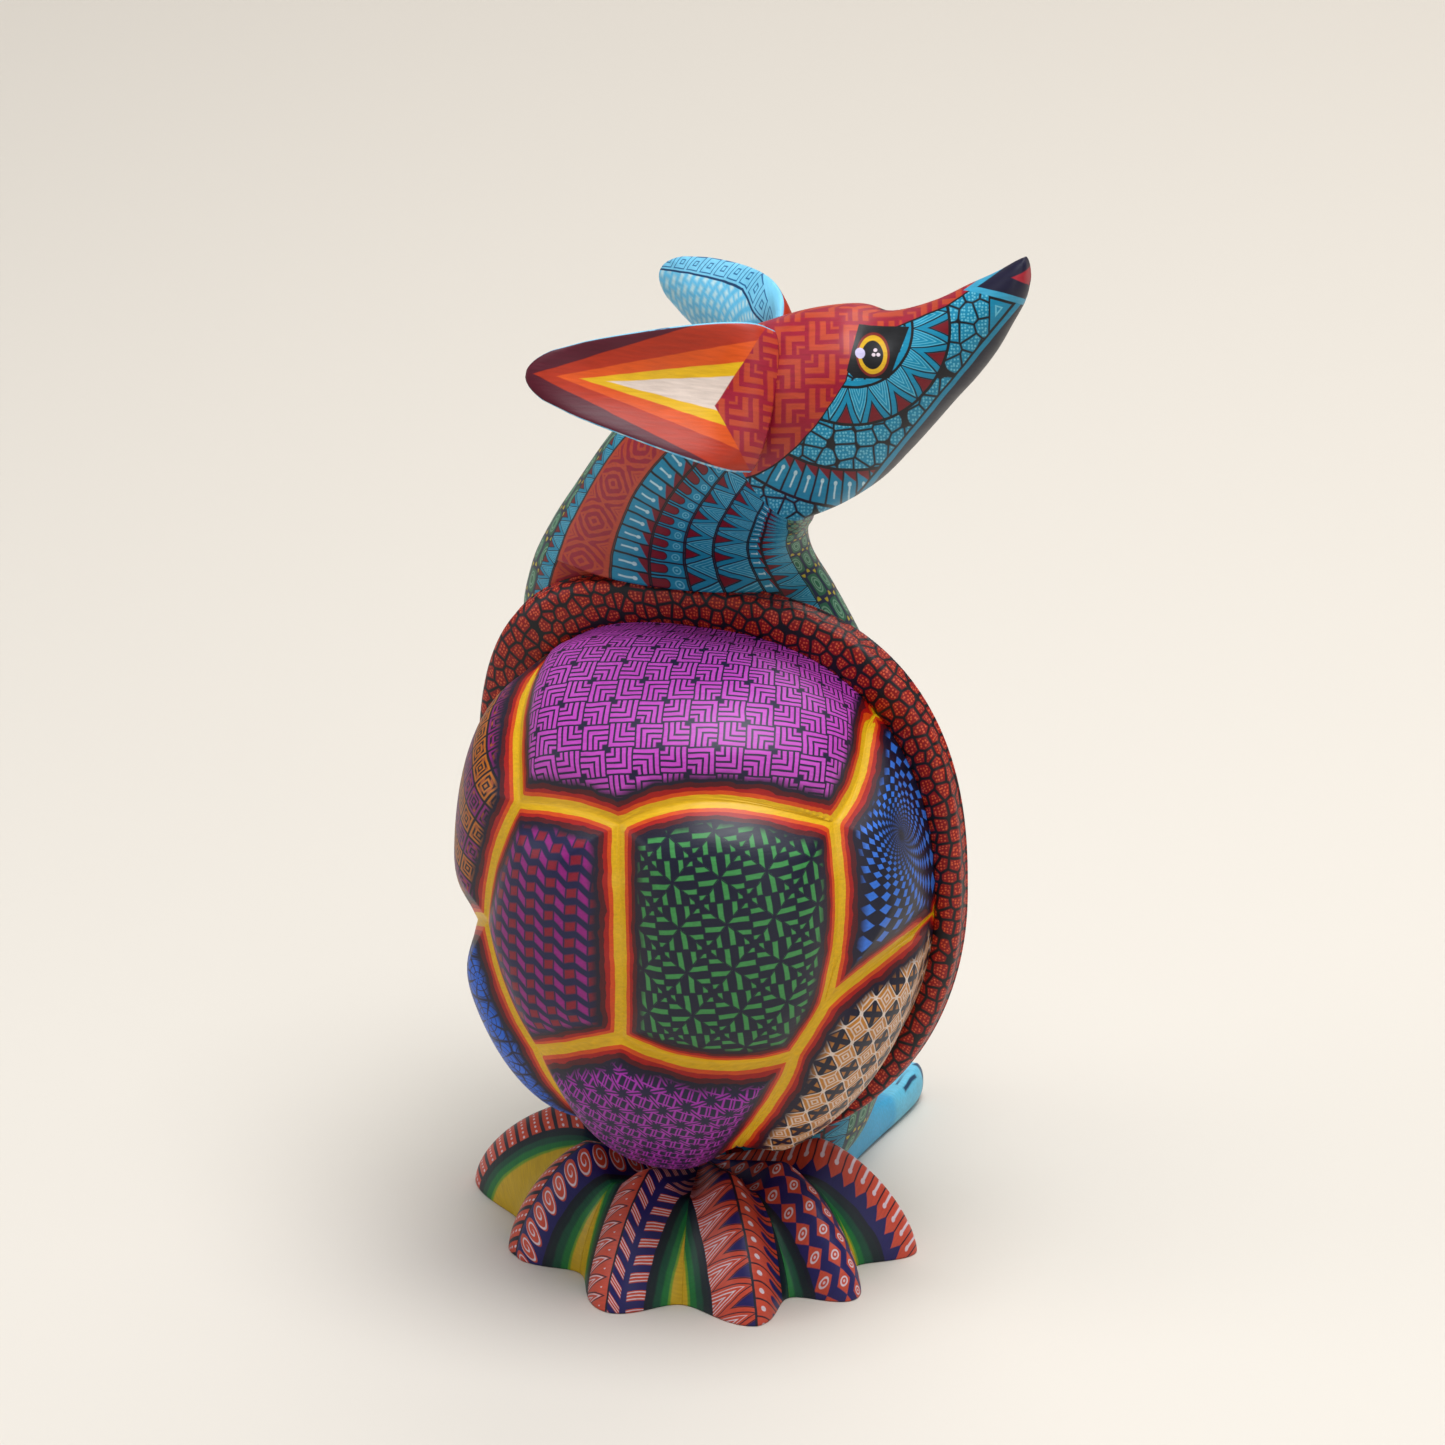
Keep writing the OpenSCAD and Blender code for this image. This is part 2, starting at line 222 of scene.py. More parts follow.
def inside(a, low, high, soft=0.05):
    return below(a, high, soft) & below(low, a, soft)


def either(test, a, b):
    """a where the mask is 1, and b where it is 0, for numbers."""
    return b + test * (a - b)


def line(a, width, soft=0.05):
    """1 within width of where a is 0."""
    return below(abs(a), width, soft)


def radius(x, y):
    return calc("SQRT", x * x + y * y)


def split(socket):
    node = socket.id_data.nodes.new("ShaderNodeSeparateXYZ")
    socket.id_data.links.new(socket, node.inputs[0])
    return [Num(out) for out in node.outputs]


def join(x, y, z=0.0):
    node = tree_of(x, y, z).nodes.new("ShaderNodeCombineXYZ")
    for value, socket in zip((x, y, z), node.inputs):
        plug(value, socket)
    return Num(node.outputs[0])


def noise(where, scale, detail):
    node = where.socket.id_data.nodes.new("ShaderNodeTexNoise")
    plug(where, node.inputs["Vector"])
    node.inputs["Scale"].default_value = scale
    node.inputs["Detail"].default_value = detail
    return node


def cells(where, scale, feature, spread):
    """A Voronoi pattern in the plane of where."""
    node = where.socket.id_data.nodes.new("ShaderNodeTexVoronoi")
    node.voronoi_dimensions = "2D"
    node.feature = feature
    plug(where, node.inputs["Vector"])
    node.inputs["Scale"].default_value = scale
    node.inputs["Randomness"].default_value = spread
    return Num(node.outputs["Distance"])


def rgb(*levels):
    """A colour from its red, green and blue on a screen, 0 to 255, made linear."""
    shares = [level / 255 for level in levels]
    return tuple(c / 12.92 if c < 0.04 else ((c + 0.055) / 1.055) ** 2.4 for c in shares) + (1.0,)


def coat(under, *layers):
    """Colours painted over each other, each one where its mask is 1."""
    for mask, colour in layers:
        node = mask.socket.id_data.nodes.new("ShaderNodeMix")
        node.data_type = "RGBA"
        plug(mask, node.inputs[0])
        plug(under, node.inputs[6])
        plug(colour, node.inputs[7])
        under = Num(node.outputs[2])
    return under


NAVY, BLACK, NIGHT = rgb(34, 28, 104), rgb(10, 10, 18), rgb(16, 16, 44)
YELLOW, ORANGE, RED, MAROON = rgb(250, 196, 30), rgb(238, 84, 16), rgb(184, 24, 20), rgb(92, 10, 22)
CRIMSON, FRET, BLOOD = rgb(170, 32, 56), rgb(206, 78, 52), rgb(132, 20, 34)
TURQUOISE, AQUA = rgb(24, 152, 192), rgb(120, 212, 236)
SKY, PALE, WHITE, CREAM = rgb(116, 212, 254), rgb(206, 246, 255), rgb(246, 226, 236), rgb(246, 226, 212)
SALMON, OCHRE = rgb(226, 88, 66), rgb(214, 142, 62)


def shaded(name):
    """A material, and its shader."""
    material = bpy.data.materials.new(name)
    material.use_nodes = True
    return material, material.node_tree.nodes["Principled BSDF"]


def bumpy(shader, height, strength):
    """Bumps in the shader's surface, with their height in millimetres."""
    tree = shader.id_data
    node = tree.nodes.new("ShaderNodeBump")
    node.inputs["Strength"].default_value = strength
    node.inputs["Distance"].default_value = MM
    plug(height, node.inputs["Height"])
    tree.links.new(node.outputs["Normal"], shader.inputs["Normal"])


def painted(name, draw, wobble=0.5, strokes=(0.25, 1.5)):
    """Acrylic paint on hand-carved wood. draw(u, v, w) gives its colour, from the numbers in paint."""
    material, shader = shaded(name)
    tree = material.node_tree
    place = Num(tree.nodes.new("ShaderNodeTexCoord").outputs["Object"])
    kept = tree.nodes.new("ShaderNodeAttribute")
    kept.attribute_name = "paint"
    u, v, w = split(kept.outputs["Vector"])
    shake = split(noise(place, 160, 1).outputs["Color"])
    u, v = u + (shake[0] - 0.5) * (2 * wobble), v + (shake[1] - 0.5) * (2 * wobble)
    colour = draw(u, v, w)
    stroke = Num(noise(join(u * strokes[0], v * strokes[1], w), 1.0, 3).outputs["Fac"])
    patch = Num(noise(place, 60, 2).outputs["Fac"])
    shade = tree.nodes.new("ShaderNodeHueSaturation")
    plug(0.44 + stroke * 0.36 + patch * 0.14, shade.inputs["Value"])
    plug(1.08 - patch * 0.12, shade.inputs["Saturation"])
    plug(colour, shade.inputs["Color"])
    tree.links.new(shade.outputs["Color"], shader.inputs["Base Color"])
    plug(0.36 + stroke * 0.14 + patch * 0.1, shader.inputs["Roughness"])
    shader.inputs["Coat Weight"].default_value = 0.08
    shader.inputs["Coat Roughness"].default_value = 0.3
    shader.inputs["Specular IOR Level"].default_value = 0.38
    carving = Num(noise(place, 95, 1).outputs["Fac"])
    grain = Num(noise(place, 900, 2).outputs["Fac"])
    bumpy(shader, carving * 0.55 + stroke * 0.08 + grain * 0.03, 0.6)
    return material


# ---- Patterns: each takes millimetres across and along, and gives a colour ----

def chevrons(x, y, size, ground, stroke, stripes, thin):
    """Squares of nested right angles, which turn from column to column and from row to row."""
    fx, fy = fract(x / size), fract(y / size)
    fx, fy = either(odd(y / size), 1.0 - fx, fx), either(odd(x / size), 1.0 - fy, fy)
    corner = fx & fy
    rows = below(thin, fract(corner * stripes + 0.05), 0.14)
    strokes = rows & below(corner, 0.82) & below(0.04, corner) & below(0.07, fx | fy)
    return coat(ground, (strokes, stroke))


def tumbling(x, y):
    """Rows of blocks with a magenta side and a dark red side, with the dark showing between them."""
    wide, tall = 2.9, 4.6
    y = y + x * 0.35
    fold = calc("PINGPONG", x, wide)
    row = fract((y + fold * 0.55) / tall)
    block = inside(row, 0.14, 0.66, 0.12) & inside(fract(x / wide), 0.08, 0.92, 0.12)
    shade = coat(rgb(160, 36, 134), (odd(x / wide), rgb(150, 28, 52)))
    return coat(rgb(28, 28, 76), (block, shade))


def pinwheels(x, y, size=12.4):
    """Squares quartered on their diagonals, each quarter with bars over one half and then the other."""
    fx, fy = fract(x / size) * 2.0 - 1.0, fract(y / size) * 2.0 - 1.0
    ax, ay = abs(fx), abs(fy)
    far = ax | ay
    side = either(below(ay, ax, 0.01), -fy * calc("SIGN", fx), fx * calc("SIGN", fy))
    outer = inside(far, 0.74, 0.95, 0.04) & below(0.07, side)
    middle = inside(far, 0.47, 0.66, 0.04) & below(side, -0.05)
    inner = inside(far, 0.2, 0.37, 0.04) & below(0.04, side)
    bars = (outer | middle | inner) & below(0.07, far - abs(side), 0.06)
    return coat(rgb(12, 16, 46), (bars, rgb(70, 158, 84)))


def whirl(x, y, sectors=42):
    """Blue squares that shrink towards the dark middle of a whirl."""
    far = radius(x, y * 0.9) | 0.3
    ring = calc("LOGARITHM", far, math.e) * (sectors / math.tau)
    spoke = calc("ARCTAN2", y * 0.9, x) * (sectors / math.tau) + ring * 0.5
    blue = line(fract(spoke) - 0.5, 0.4, 0.06) & line(fract(ring) - 0.5, 0.4, 0.06)
    blue = blue & line(odd(spoke) - odd(ring), 0.5)
    shade = coat(rgb(70, 132, 240), (below(far, 7.0, 5.0), rgb(44, 76, 150)))
    return coat(rgb(12, 16, 46), (blue & below(1.6, far, 1.2), shade))


def lattice(x, y, size=9.0):
    """Diamonds inside diamonds, in two colours on black, with bars across them."""
    p, q = fract((x + y) / size) - 0.5, fract((x - y) / size) - 0.5
    far = abs(p) | abs(q)
    hue = coat(rgb(150, 36, 124), (odd((x + y) / size), rgb(206, 118, 40)))
    hoop = inside(far, 0.34, 0.44, 0.04) | inside(far, 0.16, 0.24, 0.04) | below(far, 0.07)
    bars = line(fract(x / size * 3) - 0.5, 0.2, 0.12) & inside(far, 0.24, 0.33, 0.04)
    return coat(rgb(20, 14, 30), (bars, rgb(176, 88, 48)), (hoop, hue))


def leaves(x, y, size=12.0):
    """Blue leaves round a lattice, veined in black."""
    p, q = fract(x / size) - 0.5, fract(y / size) - 0.5
    spoke = calc("ARCTAN2", q, p) * (8 / math.tau)
    far = radius(p, q)
    vein = line(fract(spoke) - 0.5, 0.1, 0.08) | inside(fract(far * 7), 0.0, 0.16, 0.1)
    return coat(rgb(48, 116, 240), (vein | line((abs(p) | abs(q)) - 0.5, 0.04), rgb(14, 22, 66)))


def star_weave(x, y, size=6.6):
    """Pairs of thin petals along the sides of small triangles, which meet in dark stars."""
    row = y / (size * 0.866)
    sides = (row, x / size + row * 0.5, x / size - row * 0.5)
    middle = abs(fract(sides[0]) - 0.5) + abs(fract(sides[1]) - 0.5)
    strokes = line(middle - 0.42, 0.05, 0.05)
    for side, other in zip(sides, sides[1:] + sides[:1]):
        across = abs(fract(side + 0.5) - 0.5)
        along = abs(fract(other) - 0.5)
        strokes = strokes | (inside(across, 0.04, 0.11, 0.04) & below(along + across, 0.34, 0.06))
    return coat(rgb(28, 16, 62), (strokes, rgb(186, 56, 190)))


def mosaic(x, y, size=5.9):
    """Squares with cream outlines and nested squares, by turns with dark ones that hold four triangles."""
    fx, fy = fract(x / size) - 0.5, fract(y / size) - 0.5
    ax, ay = abs(fx), abs(fy)
    far, diagonal = ax | ay, abs(ax - ay)
    lines = line(far - 0.28, 0.035) | (line(diagonal, 0.04) & below(0.28, far)) | line(far - 0.12, 0.035)
    light = coat(OCHRE, (lines, CREAM))
    wedge = below(0.2, diagonal, 0.06) & inside(far, 0.2, 0.4, 0.04)
    dark = coat(rgb(18, 18, 44), (wedge, rgb(196, 128, 58)))
    board = line(odd(x / size) - odd(y / size), 0.5)
    edge = below(0.47, far, 0.03) | below(0.86, ax + ay, 0.03)
    return coat(dark, (board, light), (edge, CREAM))


def pebbles(x, y, size, gap, fill, dots, dot_size):
    """Rounded stones with dark joints and a stipple of dots."""
    where = join(x, y)
    edge = cells(where, 1 / size, "DISTANCE_TO_EDGE", 0.7)
    middle = cells(where, 1 / size, "F1", 0.7)
    dot = cells(where, 1 / dot_size, "F1", 0.5)
    stone = below(gap / size, edge, 0.06) & below(middle, 0.6, 0.08)
    stipple = stone & below(gap * 1.6 / size, edge, 0.06) & below(dot, 0.3, 0.14)
    return coat(BLACK, (stone, fill), (stipple, dots))


def zigzag(x, y, pitch):
    """Above 0 in triangles that stand on x = 0 with their tips at x = 1, and below 0 between them."""
    return 1.0 - x - abs(fract(y / pitch) - 0.5) * 2.0


def sun_rays(x, y, pitch):
    """Nested triangles in two blues with dark red triangles between their tips."""
    high = zigzag(x, y, pitch)
    veins = line(fract(high * 4.5) - 0.5, 0.12, 0.12) & below(0.08, high)
    return coat(TURQUOISE, (below(0.0, high), rgb(34, 152, 190)), (veins, AQUA), (below(high, -0.5), BLOOD),
                (line(high, 0.05) | line(high + 0.46, 0.05), BLACK))


def toothed(x, y, pitch):
    """Turquoise blocks, each with a stem and a dot, that end in a slanting tooth against dark red."""
    row = fract(y / pitch)
    tooth = below(x, 0.05 + row * 0.28, 0.04)
    stem = line(row - 0.5, 0.06, 0.05) & inside(x, 0.38, 0.8, 0.04)
    dot = below(radius((x - 0.38) * 2.0, row - 0.5), 0.13)
    return coat(TURQUOISE, (stem | dot, PALE), (tooth, BLOOD), (~line(row - 0.5, 0.43), BLACK))


def circled(x, y, pitch):
    """Turquoise blocks, each with a circle and a dark red bar with a round end."""
    row = fract(y / pitch) - 0.5
    far = radius((x - 0.24) * 2.4, row)
    bar = radius(((0.62 - x) | 0.0) * 2.4, row)
    return coat(TURQUOISE, (inside(far, 0.2, 0.28) | below(far, 0.08), AQUA), (below(bar, 0.35), BLACK),
                (below(bar, 0.28), BLOOD), (below(0.44, abs(row)), BLACK))


def interlace(x, y, pitch):
    """An orange fret of crossing diamonds and rings on crimson."""
    row = fract(y / pitch) - 0.5
    across = (x - 0.5) * 1.3
    diamond = abs(across) + abs(row) * 1.6
    ring = radius(across, row * 1.3)
    strands = line(fract(diamond * 3.2) - 0.5, 0.17, 0.1) | line(fract(ring * 4.5) - 0.5, 0.14, 0.1)
    return coat(CRIMSON, (strands, FRET), (line(abs(across) - 0.58, 0.06), FRET))


def spotted(x, y, size=9.0):
    """Green cells with pale rings and yellow spots on deep blue."""
    row = y / size
    column = x / size + odd(row) * 0.5
    p, q = fract(column) - 0.5, fract(row) - 0.5
    far = radius(p, q)
    cell = below((abs(p) | abs(q)) + far * 0.35, 0.53, 0.05)
    ring = inside(far, 0.14, 0.19, 0.05) | inside(far, 0.26, 0.3, 0.05)
    spot = below(radius(abs(p) - 0.5, abs(q) - 0.5), 0.13)
    return coat(rgb(24, 36, 74), (cell, rgb(44, 116, 84)), (ring, rgb(150, 200, 170)),
                (spot, rgb(214, 196, 50)))


def columns(angle, along, bands):
    """Upright bands round the body, each from one angle to another, with dark lines between them, over a
    spotted ground."""
    colour = spotted(angle * 0.75, along)
    for start, end, pattern, pitch in bands:
        within = (angle - start) * (1 / (end - start))
        mask = inside(within, 0.0, 1.0, 0.02)
        edge = mask & below(0.5 - 0.8 / (end - start), abs(within - 0.5), 0.02)
        colour = coat(colour, (mask, pattern(within, along, pitch)), (edge, BLACK))
    return colour


# ---- Torso ----

# Each ring's middle x, height, tilt, half width, middle y and half depth
TORSO_RINGS = [
    [0, 14, 0, 26, 34, 30], [0, 22, 0, 30, 34, 34], [0, 45, 0, 35, 34, 37], [0, 75, 0, 43, 33, 37],
    [0, 105, 0, 47, 32, 36], [-5, 135, 0, 50, 31, 33], [-13, 155, 0, 52, 29, 30],
    [-18, 172, 0, 51.5, 27, 28.5], [-20.5, 189, 0, 45.5, 25, 27], [-19.8, 202, 2, 39, 22, 25],
    [-15, 214, 8, 34, 18, 25], [-7, 226, 20, 31, 13, 25], [3, 237, 42, 28, 8, 24],
    [CUT_X, CUT_Z, CUT_TILT, CUT_HALF, 4, 24]]
# Each band's first and last angle, its pattern and the pattern's pitch
COLUMNS = [
    (14, 32, sun_rays, 5.0), (32, 40, toothed, 5.0), (40, 58, sun_rays, 10.0), (58, 72, sun_rays, 10.0),
    (72, 88, circled, 5.0), (88, 106, toothed, 5.0), (106, 138, interlace, 13.0), (138, 150, sun_rays, 4.6),
    (196, 216, toothed, 5.5), (216, 240, sun_rays, 9.0), (240, 300, interlace, 18.0),
    (300, 324, sun_rays, 9.0), (324, 344, circled, 5.5)]


def torso():
    t = np.linspace(0, len(TORSO_RINGS) - 1, 240)
    x, z, tilt, half, y, depth = through(TORSO_RINGS, t).T[:, :, None]
    a = turn(144)[None, :]
    degrees = np.degrees(a)
    # Haunches swell low down on both sides, and the back is flat as far up as the shell
    haunch = 9 * bell((z - 44) / 22) * (bell((degrees - 232) / 30) + bell((degrees - 308) / 30))
    u = (half + haunch) * np.cos(a)
    back = y - (depth + haunch) * np.sin(a)
    back = np.where(z < DOME_Z + RIM_UP + 0.3, np.maximum(back, FLANGE_T), back)
    lean = np.radians(tilt)
    points = grid(x + u * np.cos(lean), back, z - u * np.sin(lean))
    middle = grid(x, y, z)[:, 0]
    # The bands turn a little round the neck
    paint = grid(degrees - 3.3 * np.maximum(t[:, None] - 8.5, 0), run(middle)[:, None], 0.0)
    material = painted("torso paint", lambda u, v, w: columns(u, v, COLUMNS))
    piece("painted_torso", points, paint, material, replaces=("torso",))


# ---- Head ----

HEAD_Y = 4
CUT_ALONG, CUT_DOWN = CUT_HALF * math.cos(math.radians(CUT_TILT)), CUT_HALF * math.sin(math.radians(CUT_TILT))
# Each ring's x and height on the crown, its x and height on the jaw, and its half width
HEAD_RINGS = [
    [CUT_X - CUT_ALONG, CUT_Z + CUT_DOWN, CUT_X + CUT_ALONG, CUT_Z - CUT_DOWN, 24],
    [10, 276, 37, 228, 24.5], [23, 281.5, 47.5, 236, 24], [37, 285, 55.5, 245, 21], [45, 284, 62, 253, 18],
    [53, 286, 69, 262, 15], [63, 290.5, 75.5, 270, 12], [72, 296, 81, 278, 9.5],
    [80.5, 301, 85.5, 286.5, 7.5], [86, 304.8, 88.8, 293, 5.5], [89, 306.6, 90.3, 298.5, 3]]
# The middle of the eye in the photo's view. The far side of the head mirrors the near side
EYE = (42.8, 247.0)


def crown_fret(h, k):
    return chevrons(h, k, 9.4, CRIMSON, FRET, 3.2, 0.45)


def head_paint(h, k, w):
    """h and k run forward and up from the middle of the eye."""
    # Bands round the eye: rays, scales, teeth on the jaw, and scales again under it
    rays_from, rays_to, teeth_from, teeth_to = 16.2, 26.4, 38.6, 48.7
    far = radius(h + 5.6, k - 7.0)
    bearing = calc("ARCTAN2", k - 7.0, h + 5.6) * (360 / math.tau)
    cheek = coat(
        pebbles(h, k, 4.8, 0.3, TURQUOISE, AQUA, 0.95),
        (inside(far, teeth_from, teeth_to, 0.3), toothed((far - teeth_from) / 10.0, bearing, 5.2)),
        (inside(far, rays_from, rays_to - 0.1, 0.3), sun_rays((far - rays_from) / 10.0, bearing, 19.0)))
    for ring in (rays_from, rays_to, teeth_from, teeth_to):
        cheek = coat(cheek, (line(far - ring, 0.4, 0.15), BLACK))
    cheek = coat(cheek, (inside(far, 14.4, 15.8, 0.2), TURQUOISE))
    # The muzzle: a nested triangle, a turquoise edge with a black lip below it, and the nose
    lip = h * 0.771 - k * 0.637
    under_nose = 16.4 - (h - 28.2) * 0.256 - k
    nest = (h - 31.8) & (under_nose - 0.8) & (20.6 - lip)
    cheek = coat(cheek, (below(31.3, h, 0.15), BLACK), (below(0.0, nest, 0.15), TURQUOISE),
                 (below(0.6, nest, 0.1) & line(fract(nest * 0.8) - 0.2, 0.16, 0.12), AQUA),
                 (below(20.7, lip, 0.15), BLACK), (inside(lip, 21.3, 22.5, 0.15), TURQUOISE),
                 (below(22.6, lip, 0.15), rgb(18, 14, 40)))
    over_nose = k - 18.1 - (h - 28.2) * 0.693
    nose = below(over_nose, 0.0, 0.15) & below(under_nose, -1.7, 0.15)
    stripe = below(over_nose, 1.8, 0.15) & below(under_nose, 0.0, 0.15)
    stripe = stripe & below(25.0, h + k * 0.12, 0.3)
    nostril = below(k - 20.4 - (h - 37.5) * 0.4545, 0.0, 0.3)
    nostril = nostril & below(0.0, k - 20.4 + (h - 37.5) * 0.413, 0.3)
    # The crown is crimson behind the eye and down to the jaw, and along the top of the muzzle to the nose.
    # It has a black edge
    behind, back = h - k * 0.264, (-7.1 - h) | 0.0
    jaw = back * back * 0.026 - back * 1.7
    top = (h - 8.8) * 0.4 + ((h - 20.0) | 0.0) * 0.27
    crown = (below(behind, -5.9, 0.15) & below(jaw - 6.2, k, 0.15)) | below(top + 8.7, k, 0.15)
    edge = (below(behind, -5.5, 0.15) & below(jaw - 6.8, k, 0.15)) | below(top + 8.2, k, 0.15)
    colour = coat(cheek, (edge, BLACK), (crown, crown_fret(h, k)), (stripe, rgb(70, 176, 214)),
                  (nose, rgb(22, 18, 52)), (nose & nostril, rgb(190, 44, 60)))
    # The eye lies in a black patch with five sides. Over it lie maroon, yellow and black rings, a pale
    # lavender dot at the back of the eye and three small white dots in the black
    patch = below(k + h * 0.08, 8.2, 0.15) & below(-6.7, k, 0.15) & below(h - k * 0.384, 6.9, 0.15)
    patch = patch & below(-6.2, behind, 0.15) & below(-12.0, h + k, 0.15)
    ball = radius(h * 1.35, k)
    colour = coat(colour, (patch, rgb(8, 8, 14)), (below(ball, 6.2, 0.2), rgb(132, 34, 26)),
                  (below(ball, 5.4, 0.2), rgb(236, 184, 30)), (below(ball, 4.0, 0.2), rgb(6, 6, 12)),
                  (below(radius(h + 3.4, k - 0.5), 1.5, 0.2), rgb(222, 212, 250)))
    for dot_h, dot_k in ((1.0, 1.4), (0.5, 0.1), (1.7, 0.1)):
        colour = coat(colour, (below(radius(h - dot_h, k - dot_k), 0.5, 0.15), WHITE))
    return colour


def head():
    t = np.linspace(0, len(HEAD_RINGS) - 1, 220)
    rings = through(HEAD_RINGS, t)[:, None, :]
    a = turn(128)[None, :]
    share = 0.5 + 0.5 * power(np.cos(a), 0.95)
    across = power(np.sin(a), 0.95)
    crown, jaw = rings[..., :2], rings[..., 2:4]
    points = grid(jaw[..., 0] + (crown[..., 0] - jaw[..., 0]) * share, HEAD_Y - rings[..., 4] * across,
                  jaw[..., 1] + (crown[..., 1] - jaw[..., 1]) * share)
    x, y, z = np.moveaxis(points, -1, 0)
    aside = HEAD_Y - np.abs(y - HEAD_Y)
    h = x * SEEN_RIGHT[0] + aside * SEEN_RIGHT[1] - EYE[0]
    k = x * SEEN_UP[0] + aside * SEEN_UP[1] + z * SEEN_UP[2] - EYE[1]
    # The eyes bulge
    points[..., 1] += np.sign(y - HEAD_Y) * 1.3 * bell(np.hypot(h * 1.35, k) / 6)
    material = painted("head paint", head_paint, 0.22)
    piece("painted_head", points, grid(h, k, np.abs(across)), material, replaces=("head",))


# ---- Ears ----

EAR_HALF_W, EAR_CUP = 20, 7
# From the root to the tip: shares of the half width, shares of the cup, and half the thickness
EAR_WIDTHS = [1, 1.04, 1, 0.9, 0.75, 0.55, 0.28]
EAR_CUPS = [0, 0.25, 0.9, 1, 0.8, 0.5, 0]
EAR_HALVES = [5, 5.2, 4.6, 3.6, 3, 2.3, 1.4]


def ear_paint(across, down, face):
    """across is measured from the middle line and down from the tip, and face is above 0 in the hollow."""
    rim = abs(across)
    inner = coat(rgb(92, 12, 36), (below(rim, (down - 3.0) * 0.4 + 0.4, 0.3), rgb(196, 52, 18)),
                 (below(rim, (down - 8.4) * 0.29, 0.3), rgb(240, 92, 22)),
                 (below(rim, (down - 15.0) * 0.215, 0.3), YELLOW),
                 (below(rim, (down - 22.5) * 0.155, 0.3), CREAM))
    crown = below(abs(across + 3.5) * 0.6 + 52.0, down, 0.3)
    inner = coat(inner, (crown, crown_fret(down + 0.5, across)))
    # Outside: arcs of pale dashes, and a border of square spirals along the upper edge
    arc = radius(down - 58.0, across * 1.3) / 3.2
    step = calc("ARCTAN2", across, 58.0 - down) * 12.0 + odd(arc) * 0.5
    dash = line(fract(arc) - 0.5, 0.24, 0.3) & line(fract(step) - 0.5, 0.3, 0.3)
    border = below((down * 0.30 | 0.0) & 11.5, across, 0.2)
    beyond = across - (down * 0.30 & 11.5)
    p, q = (beyond - 2.9) / 2.6, fract(down / 5.8) * 2.0 - 1.0
    spiral = line(fract((abs(p) | abs(q)) * 2.1 + p * 0.12) - 0.5, 0.12, 0.1) & below(abs(p), 0.95)
    outer = coat(SKY, (dash, PALE), (border, rgb(132, 216, 250)), (border & spiral, rgb(40, 108, 160)),
                 (line(beyond, 0.28, 0.15), rgb(24, 66, 110)))
    return coat(outer, (below(0.2, face, 0.06), inner))


def ear(name, root, out, start_across, end_across, tip, stalk, size):
    """An ear that leaves its root along out for the length of stalk, and bends over to the tip. Its width
    runs along start_across at the root and along end_across at the tip."""
    root, tip = np.array(root, float), np.array(tip, float)
    out, start_across, end_across = unit(out), unit(start_across), unit(end_across)
    turned = np.sign(out[1])
    t = 1 - (1 - np.linspace(0, 1, 130)) ** 1.6
    bend = root + stalk * out
    first, second = root + (bend - root) * t[:, None], bend + (tip - bend) * t[:, None]
    middle = first + (second - first) * t[:, None]
    toward = stalk * out + (tip - bend - stalk * out) * t[:, None]
    across = unit(start_across + (end_across - start_across) * t[:, None])[:, None, :]
    hollow = (turned * unit(np.cross(toward, across[:, 0])))[:, None, :]
    width, cup, half = (through(np.array(row)[:, None], t * 6) for row in (EAR_WIDTHS, EAR_CUPS, EAR_HALVES))
    rounding = np.sqrt(1 - 0.97 * np.maximum(0, (t[:, None] - 0.93) / 0.07) ** 2)
    width = width * size * EAR_HALF_W * rounding
    a = turn(96)[None, :]
    v, side = np.cos(a), -turned * np.sin(a)
    lift = half * rounding * side - EAR_CUP * cup * (1 - v * v)
    points = middle[:, None, :] + across * (width * v)[..., None] + hollow * lift[..., None]
    down = (points - tip) @ np.array([SEEN_RIGHT[0], -SEEN_RIGHT[1] * turned, 0])
    material = painted(name + " paint", ear_paint, 0.25, (1.2, 0.15))
    piece("painted_" + name, points, grid(width * v, down, side), material, body=name + "_body",
          replaces=(name,))


# ---- Shell ----

# Where the grooves between the scutes meet, as x and height above the middle of the dome. A knot with two
# letters is on the rim
KNOTS = {"TL": (-49.5, 62), "A": (-35, 38), "B": (-2.5, 38.6), "C": (51.2, 37.7), "TR": (48, 54.5),
         "E": (-0.3, -23.7), "D": (52.7, -13.2), "L": (-46.5, -1), "F": (-29.8, -36.1), "WL": (-61, -18),
         "G": (44.9, -28.2), "WR": (66.5, -3), "GR": (14, -77), "FR": (-18, -77)}
# The point that each groove passes through half way
BENDS = {"TL A": (-40.5, 50.5), "A B": (-18, 40.5), "B C": (24, 46.5), "C TR": (52.5, 45.5), "B E": (0, 9),
         "C D": (55.6, 13), "A L": (-42.7, 18.3), "L F": (-39, -21), "L WL": (-55, -7), "F E": (-13.6, -29),
         "E G": (23, -29.5), "D WR": (59.4, -7.1), "G D": (49.5, -20), "G GR": (36, -47), "F FR": (-26, -52)}


def oval_r(a, right, left, up, down, square_right, square_left):
    """Distance to the edge of an oval at angle a, its upper corners squarer on one side than on the other."""
    width, height = np.where(np.cos(a) > 0, right, left), np.where(np.sin(a) > 0, up, down)
    n = np.where(np.sin(a) < 0, 2, np.where(np.cos(a) > 0, square_right, square_left))
    return ((np.abs(np.cos(a)) / width) ** n + (np.abs(np.sin(a)) / height) ** n) ** (-1 / n)


def rim_r(a):
    return oval_r(a, RIM_RIGHT, RIM_LEFT, RIM_UP, RIM_DOWN, 2.5, 3.6)


def dome_r(a):
    return oval_r(a, RIM_RIGHT - FLANGE_W, RIM_LEFT - FLANGE_LEFT, RIM_UP - FLANGE_TOP, RIM_DOWN - FLANGE_W,
                  2.3, 3)


